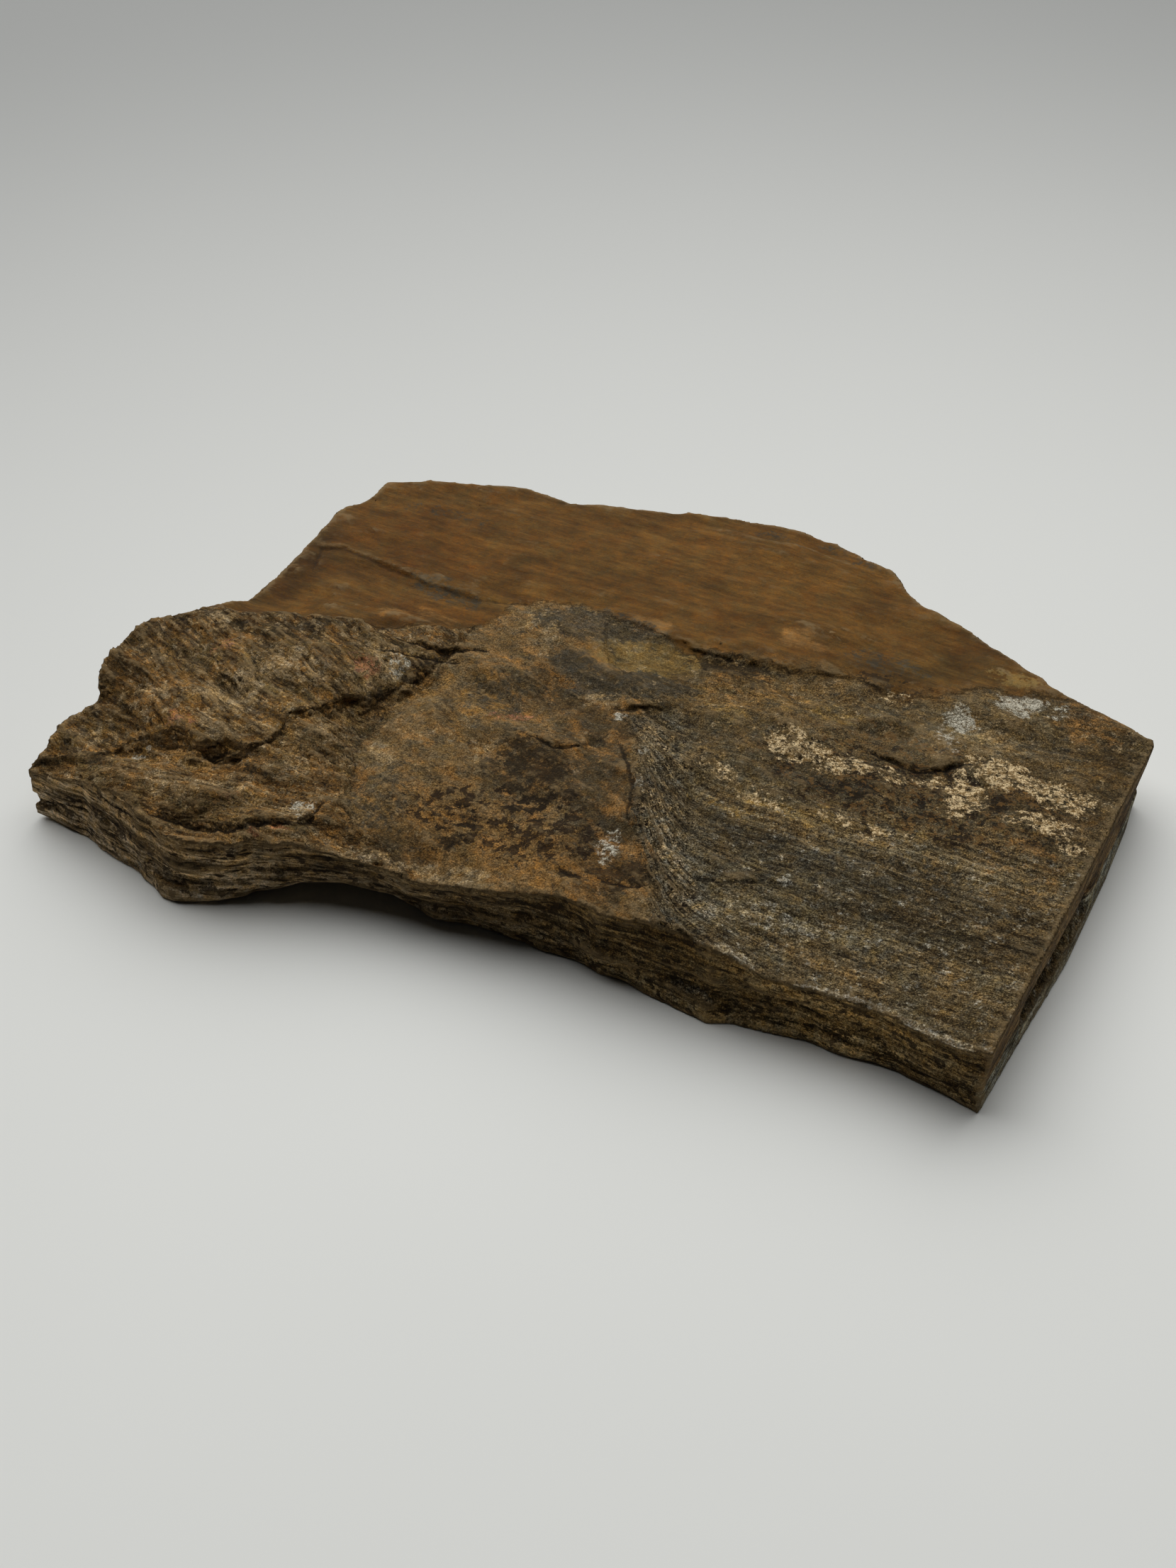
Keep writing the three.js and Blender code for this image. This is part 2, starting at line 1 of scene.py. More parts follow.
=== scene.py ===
import math
from collections import namedtuple
from itertools import product
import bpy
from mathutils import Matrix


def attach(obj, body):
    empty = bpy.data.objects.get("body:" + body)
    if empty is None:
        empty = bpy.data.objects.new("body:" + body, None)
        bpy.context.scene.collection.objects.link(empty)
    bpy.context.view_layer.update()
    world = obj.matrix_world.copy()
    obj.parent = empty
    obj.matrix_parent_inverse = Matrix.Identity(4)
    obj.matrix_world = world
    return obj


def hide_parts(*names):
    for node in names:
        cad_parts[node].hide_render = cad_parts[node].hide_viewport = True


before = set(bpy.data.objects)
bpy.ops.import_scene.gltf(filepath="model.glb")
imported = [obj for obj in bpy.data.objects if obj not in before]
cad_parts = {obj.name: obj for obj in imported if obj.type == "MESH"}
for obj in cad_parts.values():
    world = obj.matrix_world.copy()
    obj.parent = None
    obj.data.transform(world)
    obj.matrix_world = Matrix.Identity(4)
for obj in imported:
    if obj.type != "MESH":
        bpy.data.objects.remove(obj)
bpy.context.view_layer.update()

from types import SimpleNamespace

import bmesh
import bpy
import numpy as np

# ---- sizes and seeds
# The stone is worked in millimetres, in the frame of the CAD model: X along the
# stone, Y away from the camera, Z up from the underside.
MM = 0.001
VOXEL = 0.8
FACE_LIMIT = 196_000
WELD = 1e-6
SEED = 5

CAMERA_AT = (-0.001, -0.5031, 0.4091)
CAMERA_PITCH = 39.0
CAMERA_LENS = 49.93
CAMERA_SENSOR = 36

FLOOR_REACH = 4.0
WORLD_STRENGTH = 0.01

# ---- the map of the top
# Lines that divide the top into its natural fields, as x, y.
BACK_LINE = [
    (-165, 44), (-113, 44), (-66, 41), (-45, 40), (-38, 44), (-30, 50), (-24, 58), (-12, 60),
    (0, 56), (14, 46), (23, 38), (33, 31), (45, 28), (60, 23), (78, 20), (90, 13), (104, 12),
    (120, 16), (140, 12), (165, 0)]
MOUND_LINE = [
    (-165, -12), (-139, -13), (-132, -10), (-120, -11), (-112, -17), (-107, -20), (-98, -20),
    (-91, -17), (-85, -7), (-74, 1), (-62, 8), (-50, 18), (-42, 26), (-38, 44), (-30, 60)]
# The valley right of the bowl and the pale ridge, as y, x.
VALLEY_LINE = [
    (-70, -46), (-50, -60), (-38, -68), (-20, -68), (-10, -66), (0, -62), (10, -55), (15, -48),
    (26, -41), (44, -38)]
RIDGE_LINE = [(-90, 15), (-60, 13), (-40, 14), (-20, 14), (-2, 10), (10, 6), (30, 0)]
RIDGE_WIDTH = 15.0

# How softly the fields blend; the back field does so more from RIGHT_BLEND_AT on.
BACK_BLEND, RIGHT_BLEND, RIGHT_BLEND_AT = 1.2, 5.0, (38, 60)
MOUND_BLEND, VALLEY_BLEND, RIDGE_BLEND = 0.8, 3.5, 8
RIDGE_START, RIDGE_HEAD, RIGHT_START = (-3.5, 2.5), (4, -2), (4, 8)

# Cracks: path, half width, depth.
CRACKS = [
    ([(-139, -13), (-132, -10), (-120, -11), (-112, -17)], 0.4, 0.5),
    ([(-112, -17), (-107, -20), (-98, -20), (-91, -17)], 0.5, 0.6),
    ([(-91, -17), (-85, -7), (-74, 1)], 0.4, 0.6),
    ([(-74, 1), (-62, 8), (-50, 18), (-42, 26)], 0.35, 0.35),
    ([(-66, -4), (-58, 5), (-47, 13)], 0.35, 0.35),
    ([(-108, -18.5), (-104, -17.5), (-101, -19)], 1.4, 2),
    ([(-127, 25), (-118, 22), (-105, 6), (-94, -8)], 1, 0.35),
    ([(-57, 33), (-44, 28), (-32, 31)], 0.8, 1.2),
    ([(-62, 26), (-50, 25), (-40, 24)], 0.8, 1.2),
    ([(-50, 12), (-46, 5), (-41, -3)], 0.35, 0.5),
    ([(-122, -40), (-110, -45), (-100, -49), (-90, -48), (-80, -47)], 1, 1.4),
    ([(-78, -46), (-74, -40)], 0.8, 1.1),
    ([(-16, -12), (-11, -16), (-4, -16.5)], 0.45, 0.9),
    ([(-4, -16.5), (0, -14), (5, -10)], 0.3, 0.5),
    ([(-7, 11), (1, 5), (6, 3.5)], 0.3, 0.4),
    ([(6, 3.5), (11, 3), (20, 4)], 0.4, 0.7),
    ([(14, 46), (23, 38), (33, 31)], 0.4, 0.35),
    ([(33, 31), (42, 28)], 0.5, 0.8),
    ([(66, 22), (78, 19), (88, 13)], 0.6, 0.4),
    ([(80, -15), (85, -18), (92, -22), (100, -22), (107, -20)], 0.6, 1),
    ([(27, -70), (34, -72), (43, -71)], 0.4, 0.7),
    ([(43, -71), (52, -71), (64, -75)], 0.3, 0.4),
    ([(35, -62), (44, -60), (50, -63), (49, -68)], 0.5, 0.3),
    ([(-8, -66), (-6, -69), (-3, -70)], 1, 0.8),
    ([(3, -72), (8, -74), (12, -75)], 0.9, 0.8),
    ([(24, -12), (24, -22), (21, -25)], 0.6, 0.6),
    ([(-88, 78), (-87, 89), (-80, 88), (-62, 76), (-50, 67), (-35, 61), (-18, 57)], 0.8, 0.5),
    ([(-70, -20), (-67, -26), (-66, -34)], 0.4, 0.4),
    ([(13, -52), (12.5, -60), (14, -80)], 0.4, 0.35),
    ([(8, -16), (10, -27), (11, -38), (10, -50)], 0.6, 0.7),
]

NO_CRACK = 6.0

# The sawn face: its two ends in plan, and where along it the broken core starts and ends.
SAWN_FACE = [(98, -131), (163, -7)]
CORE_START, CORE_END = (24, 31), (85, 74)

# Light and dark bands of the right-hand field: distance across the grain, shade.
PLATE_BANDS = [
    (-92, 0.7), (-78, 0.9), (-66, 0.85), (-58, 1.15), (-51, 1.15), (-45, 0.7), (-28, 0.65),
    (-20, 0.9), (-14, 1.35), (-6, 1.05), (2, 0.85), (12, 0.8), (22, 1), (40, 1.1)]

# Grain directions in degrees from +X, by field; the patterns of the next one are moved
# by FIELD_SHIFT, so that none runs on.
GRAIN = {"back": -27, "mound": -46, "bowl": -20, "centre": -48, "right": -26}
FIELD_SHIFT = 40
# The grain bends round the ridge in front of SWIRL_BACK.
SWIRL_PUSH, SWIRL_REACH, SWIRL_BACK = 26.0, 6.0, 10


def srgb(red, green, blue):
    """A colour given as 0 to 255 on screen, as a linear colour."""
    c = np.array([red, green, blue]) / 255
    return np.where(c <= 0.04045, c / 12.92, ((c + 0.055) / 1.055) ** 2.4)


def rgba(red, green, blue):
    """The same with full opacity, for a shader node."""
    return (*srgb(red, green, blue), 1.0)


# Mid colours of the fields.
FIELD_COLOURS = {
    "back": srgb(93, 64, 25), "mound": srgb(93, 73, 40), "bowl": srgb(102, 82, 49),
    "centre": srgb(109, 88, 56), "ridge": srgb(91, 80, 59), "right": srgb(92, 77, 51)}

# Patches that stain the stone, and in DARK one painted shadow. Each patch has x, y, half length,
# half width, weight in percent and, if it is turned, its turn in degrees.
RUST = [
    (-124, 4, 8, 6, 120, 40), (-115, -5, 7, 5, 110), (-120, -14, 7, 4, 100),
    (-107, -25, 8, 4, 110), (-97, -27, 5, 8, 120), (-85, -34, 8, 5, 100), (-74, -30, 5, 8, 90),
    (-66, -27, 3, 6, 100, 10), (-132, -25, 5, 8, 70), (-35, -50, 16, 9, 50, -20),
    (-5, -68, 16, 7, 60, -25), (10, -62, 7, 7, 50), (18, 44, 6, 5, 60), (65, 36, 9, 5, 60, -20),
    (-55, 48, 12, 6, 60, -10), (118, -62, 12, 9, 20, -60), (148, 4, 12, 14, 35),
    (122, -34, 8, 3, 30, -30), (-132, 44, 10, 6, 30, 20), (-80, 8, 12, 9, 35, -40),
    (-25, 20, 12, 9, 30, -20), (50, 12, 16, 10, 30, -20), (-12, 14, 8, 6, 40)]
DARK = [
    (7, -70, 9, 5, 60, -20), (-17, -24, 15, 8, 65, -50), (-12, -37, 8, 10, 55),
    (-36, -44, 5, 4, 70), (-40, -53, 4, 3, 80), (-96, -27, 3, 4, 40), (-140, -15, 5, 3, 80, -20),
    (-104, -18, 4, 2.5, 40), (-95, -47, 12, 2.5, 50, 3), (6, -74, 5, 2, 80, -10),
    # the patch at (42, 24) is painted shadow under the lip of the back field
    (-6, -68, 3, 2, 80), (42, 24, 12, 4, 80, -20), (88, 18, 10, 4, 50, -10),
    (105, -47, 6, 2, 40, -20), (62, -18, 5, 3, 70, -20), (75, -33, 7, 4, 70, -30),
    (88, -40, 8, 5, 70, -20), (97, -37, 5, 3, 50), (-60, 8, 9, 3, 50, 35), (-50, 22, 8, 3, 60, 30),
    (115, -38, 8, 2.5, 60, -20), (72, -12, 3, 2, 60)]
SLATE = [
    (-28, 10, 10, 10, 45), (-48, 66, 11, 6, 50, -35), (-40, 61, 8, 4, 50, -20),
    (0, 46, 20, 8, 95, -20), (-48, 110, 14, 4, 35, -28), (12, 14, 20, 7, 100),
    (-5, 24, 7, 9, 80, 30), (58, -27, 12, 3, 70, -18), (50, -55, 26, 6, 45, -16),
    (75, -62, 34, 8, 50, -18), (70, -72, 30, 6, 40, -20), (78, -97, 16, 7, 45, -10),
    (100, -80, 18, 5, 35, -30), (118, 0, 16, 8, 30, -20), (85, 0, 12, 8, 35),
    (130, -12, 10, 6, 45, -20), (-70, -12, 5, 8, 50), (-145, -4, 8, 6, 50), (-58, -34, 8, 14, 50),
    (-96, 12, 10, 3, 50, -46), (-85, 38, 14, 5, 50), (85, 90, 12, 5, 35, -40),
    (60, 98, 14, 4, 30, -28), (90, 28, 14, 5, 45, -20), (140, 8, 8, 5, 30, -20)]
PALE = [
    (-88, 14, 12, 8, 55, -30), (-103, 3, 10, 8, 90, -46), (-124, 4, 5, 5, 60),
    (-64, 13, 8, 4, 70, 35), (-97, -12, 10, 3, 60, 10), (-141, -6, 6, 4, 50),
    (-118, -31, 11, 5, 60, -30), (-104, -31, 12, 5, 55, 10), (-84, -25, 6, 5, 55),
    (-84, -43, 8, 4, 60), (-105, -12, 7, 3, 90), (-60, 18, 6, 4, 90, 20), (-63, 26, 6, 4, 70),
    (-75, -12, 6, 6, 60, -50), (-62, -57, 14, 4, 50, -15), (-38, -63, 14, 3, 50, -18),
    (-74, -36, 6, 4, 40), (17, -14, 4, 11, 45, -8), (22, -17, 3, 8, 25), (21, -55, 5, 20, 45, 8),
    (98, -10, 8, 9, 45, 10), (-112, 37, 5, 3, 70), (-115, 33, 8, 3, 40), (-110, -7, 5, 4, 60),
    (3, 8, 5, 4, 50), (-18, 48, 9, 5, 40, 50), (-12, 38, 4, 9, 40, -20), (30, -96, 14, 2, 80, -25),
    (62, -111, 16, 2, 90, -20), (86, -125, 12, 2, 80, -28), (45, -84, 28, 5, 35, -10),
    (95, -95, 10, 3, 25, -30), (-30, -17, 4, 5, 50), (-45, -5, 18, 12, 15, -30),
    (-86, -30, 5, 4, 50), (-60, -15, 4, 9, 50, 10)]
OLIVE = [
    (17, 29, 15, 8, 120, -10), (65, 4, 18, 8, 40, -10), (45, 2, 14, 8, 30), (-38, 8, 14, 14, 40),
    (70, -44, 24, 4, 55, -14), (38, -38, 12, 4, 40, -20), (60, -42, 14, 4, 40, -14),
    (128, 22, 10, 5, 30, -20)]
RED = [
    (-66, 16, 5, 4, 60), (-70, 20, 3, 4, 30, 30), (-109, 24, 3.5, 4, 35, -60),
    (-23, 0, 7, 3.5, 45, 10), (-92, -50, 2.5, 1.5, 60), (-86, -49, 2, 1.2, 60),
    (-118, -8, 6, 3, 40, -20), (-102, -38, 4, 3, 35)]
STAINS = {"rust": RUST, "dark": DARK, "slate": SLATE, "pale": PALE, "olive": OLIVE, "red": RED}

# Bodies of quartz and of cream feldspar.
QUARTZ = [
    (108, 2, 4, 6, 100, 30), (125, 9, 6, 5, 100), (104, -8, 4, 6, 40), (4, -58.5, 3, 5.5, 42),
    (-80, -42, 2.6, 3.4, 60, 10), (9, 0, 2, 2, 55), (15.5, -21, 1.5, 2, 60),
    (15, -35.5, 1.8, 2.2, 60), (52, -69.5, 1.5, 1, 70), (-57, 20, 3, 4, 50, 20),
    (136, 5, 3, 3, 40), (-130, -14, 3, 1.5, 30)]
CREAM = [
    (60, -14, 9, 6, 100, -25), (73, -21, 7, 4, 95, -30), (66, -20, 4, 4, 80),
    (105, -31, 6, 8, 100), (118, -25, 9, 5, 100, -30), (130, -32, 9, 5, 100, -25),
    (124, -45, 9, 4, 95, -20), (112, -18, 5, 4, 70), (95, -27, 4, 3, 60), (131, -54, 5, 3, 70),
    (90, 12, 8, 3, 20), (35, -26, 6, 3, 45, -30), (45, -36, 8, 3, 45, -25),
    (80, -50, 8, 2.5, 45, -20), (70, -45, 10, 2, 40, -18), (135, -37, 4, 4, 80),
    (100, -40, 4, 2, 60, -20), (85, -25, 4, 3, 50, -20)]

# Darker and (below 0) lighter patches. Most are the stone's own tone, but some are painted shade,
# in the dip at (88, 24) and under the lip of the back field at (38, 23), and some painted light,
# along the front ledge of the mound from (-128, -12) to (-62, 9).
PAINTED_SHADE_AND_TONE = [
    (2, -12, 9, 30, 50), (3, -52, 10, 26, 55), (-12, -22, 12, 16, 35, -30),
    (-100, 38, 26, 9, 50, -5), (-140, 8, 12, 18, 35, 30), (-64, -56, 20, 9, 65, -15),
    (-75, -45, 7, 6, 40), (-128, -12, 12, 4, -40), (-105, -20, 12, 4, -40),
    (-84, -8, 12, 4, -50, 45), (-62, 9, 14, 5, -50, 38), (150, -8, 12, 26, 50),
    (128, 42, 12, 22, 40, -40), (128, -36, 7, 20, 35, 30), (122, -75, 8, 26, 15, -28),
    (8, -38, 6, 16, 35), (21, -60, 7, 18, -35), (15, -25, 5, 16, -35), (-94, 78, 8, 22, 35, -25),
    (38, 23, 15, 4, 50, -18), (-78, 40, 26, 5, 30), (-20, 14, 12, 9, 30), (-10, 18, 7, 14, 60),
    (0, -12, 8, 9, 30), (10, -40, 7, 12, 35), (-20, -25, 12, 10, 30), (-28, 8, 8, 12, 20),
    (-66, -53, 8, 6, 40), (-90, -53, 12, 4, -40), (-66, 18, 8, 6, -60),
    (-112, 14, 12, 8, -25, -40), (-75, 98, 26, 24, 15), (-45, 80, 24, 12, 10), (16, -42, 6, 7, 40),
    (88, 24, 13, 6, 35, -15), (-2, -76, 8, 8, 45), (-75, -40, 8, 6, 35),
    (-64, -64, 20, 7, 50, -10), (-100, -32, 7, 5, 30), (-128, 12, 8, 10, 20),
    (-103, 3, 11, 9, -45, -46), (-98, 30, 14, 7, 40), (-130, 38, 10, 8, 40), (-50, 34, 10, 5, 30),
    (55, -14, 6, 6, 35), (92, -36, 10, 8, -20), (138, -34, 8, 8, 25), (150, 20, 12, 14, 40),
    (-118, -12, 8, 6, -35), (-95, -47, 12, 4, -45), (-68, 6, 8, 4, -35, 40), (5, -32, 5, 8, -50),
    (-5, -70, 6, 4, -30), (22, -62, 6, 8, -25), (65, -10, 12, 6, -45, -10), (85, -38, 12, 6, -40),
    (105, -48, 14, 6, -40, -10), (112, -8, 12, 6, -25), (35, 28, 10, 5, -30, -20),
    (-105, -18, 12, 8, -30), (-120, 8, 10, 6, -10), (112, -46, 10, 6, -35),
    (88, -40, 9, 5, -40, -20), (118, -8, 8, 6, -25), (50, 33, 16, 5, -20, -10),
    (22, -48, 6, 22, -15, 5), (78, 18, 5, 4, -45), (40, 90, 40, 26, -8, -20)]
# Warmer and (below 0) cooler patches.
WARMER = [
    (-32, -52, 24, 10, 70, -18), (-2, -67, 16, 9, 70, -20), (45, 12, 26, 13, 60, -10),
    (-112, -4, 22, 16, 90, -20), (-55, 92, 24, 16, 50, -30), (145, -20, 10, 12, 60),
    (-45, 52, 14, 6, 50, -10), (-88, -36, 16, 8, 50), (-140, 24, 8, 10, 50), (100, 25, 14, 8, -50),
    (50, -70, 44, 16, -35, -18), (-64, -20, 6, 18, -30), (-103, 3, 12, 9, -90, -46),
    (-64, 14, 10, 6, -40, 30), (60, -30, 20, 6, -30, -20), (0, -40, 10, 30, -30)]

# Smooth panes in the relief and in the grain, dark spots and mixed crumbs.
FLAT_PANES = [(17, 29, 17, 10, 100, -10), (98, -10, 9, 10, 100, 10)]
FINE_PANES = [(15, 27, 20, 13, 100, -10), (98, -8, 9, 10, 100, 10)]
SPOTTED = [(-24, -46, 30, 14, 90, -20), (90, -32, 40, 20, 60, -20)]
CRUMBLED = [(92, -28, 46, 22, 100, -22)]
# Where a patch starts and where it is full, as shares of its size.
CRISP_EDGE, SOFT_EDGE = (1.35, 0.65), (1.7, 0.3)

# How strongly the fields have the traits of the relief and of the paint.
FIELDS = ("back", "mound", "bowl", "centre", "ridge", "right")
ROUGHNESS = (0.2, 0.55, 0.6, 0.5, 0.7, 0.42)
BROKEN = (0.12, 1, 1.1, 0.35, 0.45, 0.25)
STREAK = (0.4, 1.1, 1.1, 0.35, 1.5, 0.45)
GRIT = (0.2, 0.7, 0.9, 0.75, 1.5, 1)
TORN = (0, 0.6, 0.45, 0, 0.7, 0.22)
MIXED = (0, 0.3, 0.5, 0.15, 0, 0)
# How far the grain waves, in millimetres.
WAVE = (1, 4.5, 4, 3, 2, 0.9)
# Stains that lie over whole fields.
EVERYWHERE = {
    "rust": (0, 0.42, 0.4, 0.28, 0, 0.05),
    "slate": (0, 0.34, 0.32, 0.2, 0, 0.2),
    "pale": (0, 0.26, 0.3, 0.08, 0, 0.12)}

# How the patches of tone and painted shade and WARMER change red, green and blue, and the
# limits of their sums.
PAINTED_SHADE_AND_TONE_PUSH, WARMER_PUSH, PUSH_LIMITS = (-1, -1, -1), (0.22, 0.0, -0.35), (-0.6, 0.55)
WARMTH_PUSH, DRIFT_SHADE = (0.2, 0.0, -0.25), 0.3

# The broken sides: colours at the foot and at SIDE_HEIGHT; along X the painted light and shade
# that make them brighter or darker, and how grey, torn, streaked and grainy they are.
SIDE_FOOT, SIDE_HEAD, SIDE_HEIGHT = srgb(140, 117, 78), srgb(126, 98, 54), 30
SIDE_PAINTED_LIGHT = [
    (-120, 1.3), (-90, 1.1), (-70, 0.68), (-30, 0.54), (30, 0.58), (65, 1.3), (85, 0.8),
    (100, 0.65), (150, 0.25)]
SIDE_GREY = [(-110, 1), (-40, 0.7), (10, 0)]
SIDE_GREY_PUSH = (-0.04, 0.02, 0.35)
SIDE_TORN = [(-60, 1), (0, 0.85)]
SIDE_STREAK = [(-60, 1.6), (0, 1.1)]
SIDE_GRIT = [(-60, 0.6), (0, 1.0)]
SIDE_SPOTS, SIDE_LINES, SIDE_BEDS = 0.3, 1.1, 0.35
# Painted light and shade on the sides that face the back: one brightness for all, and how far the
# normal must point back for it.
BACK_PAINTED_LIGHT, BACK_FACING = 0.55, (0.0, 0.4)
# Directions in plan along and into the sides.
SIDE_ALONG, SIDE_INTO, SIDE_INTO_SCALE = (0.9, -0.43, 0), (0.43, 0.9, 0), 0.2

# The sawn face: its colours below and above SAW_STAIN and in the broken core.
SAW_FOOT, SAW_HEAD, SAW_STAIN = srgb(124, 118, 98), srgb(98, 76, 46), 9
SAW_CORE_COLOUR, SAW_BEDS = srgb(96, 58, 26), 0.25

# Upward parts of the normal and distances from the sawn plane at which a point counts
# as part of a face, in the relief and in the paint.
TOP_SLOPE, TOP_PAINT = (0.45, 0.8), (0.35, 0.7)
UNDER_SLOPE = (-0.5, -0.85)
SAWN_SLOPE, SAWN_PAINT = (0.8, 0.5), (0.75, 0.4)
SAWN_REACH, SAWN_PAINT_REACH, SAWN_KEEP = (-3.0, -1.6), (-2.6, -1.4), (-3.5, -1.5)
# Heights of the foot and the head of the broken core.
CORE_RELIEF, CORE_PAINT = ((7, 9.5), (15.5, 13.5)), ((6.5, 9), (16.5, 14))
SMOOTHING, SAWN_SMOOTHING = 4, 1
# Hollows of three sizes: rounds of averaging, share.
HOLLOW_SIZES, HOLLOW_GAIN = ((2, 0.5), (8, 0.35), (24, 0.2)), 6

# Layers of noise: size (along the grain, across it and through the layers), seed step,
# octaves, height or strength, fading of the octaves, number and softness of its stairs.
Layer = namedtuple("Layer", "size step octaves height gain stairs riser",
                   defaults=(1, 0.5, 0, 0.25))
LAYERS = {
    "broad": Layer((34, 13, 30), 1, 3, 0.8, stairs=5),
    "fine": Layer((15, 2.6, 8), 5, 3, 0.75, stairs=4),
    "ripples": Layer((7, 1.4, 3), 9, 2, 0.35),
    "grit": Layer(1.9, 12, 2),
    "flakes": Layer((22, 9, 16), 20, 4, 1.3, 0.45, 4, 0.06),
    "ledges": Layer((30, 4.2, 14), 17, 3, 1.9, 0.45, 6, 0.06),
    "chunk places": Layer(16, 29, 2),
    "seams": Layer((17, 3.2, 9), 31, 3),
    "seam places": Layer(12, 34, 2),
    "beds": Layer((15, 15, 1.7), 30, 2, 0.4, stairs=4, riser=0.2),
    "thin beds": Layer((6, 6, 0.9), 33, 2, 0.35),
    "knocks": Layer((9, 9, 5), 36, 3, 0.3),
    "core": Layer((5, 5, 2), 38, 3, 0.7),
    "underside": Layer((12, 12, 5), 44, 3, 0.12),
    "chip places": Layer((5, 5, 2), 47, 3),
    "wave": Layer(24, 90, 3, gain=0.45),
    "drift": Layer(20, 70, 3),
    "warmth": Layer(9, 74, 4),
    "side beds": Layer((20, 20, 2.2), 77, 3),
}
# Flat chunks: size along the grain, across it, seed step, height.
BIG_CHUNKS, SMALL_CHUNKS = (14, 7, 23, 0.3), (5.5, 2.8, 26, 0.1)
TOP_GRIT, SIDE_GRIT_HEIGHT, SAWN_GRIT = 0.18, 0.15, 0.05
PANE_RELIEF, PANE_GRAIN = 0.75, 0.55
# Seams, and the noise levels at which chunks, seams and chips come in.
SEAM_WIDTH, SEAM_DEPTH, BROKEN_SEAM_DEPTH = 0.05, 0.2, 0.3
CHUNK_PLACES, SEAM_PLACES, CHIP_PLACES = (-0.25, 0.25), (-0.05, 0.2), (0.0, 0.5)
CRACK_SHARE, CRACK_GRIT, CRACK_JITTER_SIZE, JITTER_STEPS = 0.7, 0.5, 2.2, (60, 61)
CORE_DEPTH, CHIP_DEPTH = 0.6, 0.7
RIM_START, RIM_END = (0.2, 0.5), (0.93, 0.75)
# How far the borders of the fields and the cracks waver, in the relief and the paint.
WAVER_NOISE, PAINT_WAVER_NOISE, WAVER_STEPS = (9, 3, 0.5), (7, 4, 0.6), (40, 50)
FIELD_WAVER, CRACK_WAVER, CRACK_JITTER = 1.8, 0.9, 0.5
PAINT_WAVER, PAINT_DRIFT = 3.6, (6, 3)
BAND_DRIFT, BAND_WAVER = 2.5, 1.5
# The front of the right-hand field has more streaks and grit.
FRONT_PART, FRONT_STREAK, FRONT_GRIT = (-40, -52), 0.27, 0.2
LINED_SLANT, LINED_EDGE = 0.35, (-8, -22)
BACK_GLOSS, DARKEST = 0.4, 0.002

# ---- noise
SIGNS = ((1, 1), (-1, 1), (1, -1), (-1, -1))
GRADIENTS = np.array([(a, b, 0) for a, b in SIGNS] + [(a, 0, b) for a, b in SIGNS]
                     + [(0, a, b) for a, b in SIGNS]
                     + [(1, 1, 0), (-1, 1, 0), (0, -1, 1), (0, -1, -1)], np.float32)
# Factors that scramble x, y, z and the seed of a cell, and then their sum.
SCRAMBLERS = (374761393, 668265263, 2147483647, 974634777)
SCRAMBLE_AGAIN = 1274126177
RANDOM_SIZE = 65536
OCTAVE_SHIFT = 17.3
FAR = 9.0


def scrambled(cell, seed):
    """A repeatable random whole number below RANDOM_SIZE for each lattice cell."""
    by_x, by_y, by_z, by_seed = SCRAMBLERS
    h = cell[:, 0] * by_x + cell[:, 1] * by_y + cell[:, 2] * by_z + seed * by_seed
    h = (h ^ (h >> 13)) * SCRAMBLE_AGAIN
    return (h ^ (h >> 16)) & (RANDOM_SIZE - 1)


def noise(points, seed):
    """Smooth noise of about -1 to 1 with features one unit across."""
    base = np.floor(points)
    part = (points - base).astype(np.float32)
    cell = base.astype(np.int64)
    fade = part ** 3 * (part * (part * 6 - 15) + 10)
    total = np.zeros(len(points), np.float32)
    for corner in product((0, 1), repeat=3):
        offset = np.array(corner)
        pull = GRADIENTS[scrambled(cell + offset, seed) & (len(GRADIENTS) - 1)]
        weight = np.prod(np.where(offset, fade, 1 - fade), axis=1)
        total += weight * np.einsum("ij,ij->i", pull, part - offset.astype(np.float32))
    return total.astype(float)


def fractal(points, seed, octaves, gain):
    """Noise summed over octaves, about -1 to 1."""
    total = np.zeros(len(points))
    size, reach = 1.0, 0.0
    for octave in range(octaves):
        total += size * noise(points * 2 ** octave + OCTAVE_SHIFT * octave, seed + octave)
        reach += size
        size *= gain
    return total / reach


def layer(points, name):
    """One of the LAYERS of noise at each point."""
    it = LAYERS[name]
    value = fractal(points / it.size, SEED + it.step, it.octaves, it.gain)
    if it.stairs:
        value = terraced(value, it.stairs, it.riser)
    return it.height * value


def wandering(points, size, octaves, gain):
    """Noise in two directions, by which the borders of the fields waver."""
    return np.stack([fractal(points / size, SEED + step, octaves, gain)
                     for step in WAVER_STEPS], 1)


def chunks(grain, kind):
    """A field broken into tilted flat chunks."""
    length, width, step, height_step = kind
    x, y = grain[:, 0] / length, grain[:, 1] / width
    near = np.full(len(x), FAR)
    height = np.zeros(len(x))
    bx, by = np.floor(x), np.floor(y)
    for dx, dy in product((-1, 0, 1), repeat=2):
        cell = np.stack([bx + dx, by + dy, np.zeros_like(bx)], 1).astype(np.int64)
        px, py, tx, ty, up = (scrambled(cell, SEED + step + k) / RANDOM_SIZE for k in range(5))
        ax, ay = x - bx - dx - px, y - by - dy - py
        d = np.hypot(ax, ay)
        height = np.where(d < near, (up - 0.5) + ax * (tx * 2 - 1) + ay * (ty * 2 - 1), height)
        near = np.minimum(near, d)
    return height_step * height


def ease(value, low, high):
    """0 below low, 1 above high and smooth between; low may be above high."""
    t = np.clip((value - low) / (high - low), 0, 1)
    return t * t * (3 - 2 * t)


def terraced(value, stairs, riser):
    """value cut into level steps with short risers between them."""
    scaled = value * stairs
    level = np.floor(scaled)
    return (level + ease(scaled - level, 0.5 - riser, 0.5 + riser)) / stairs


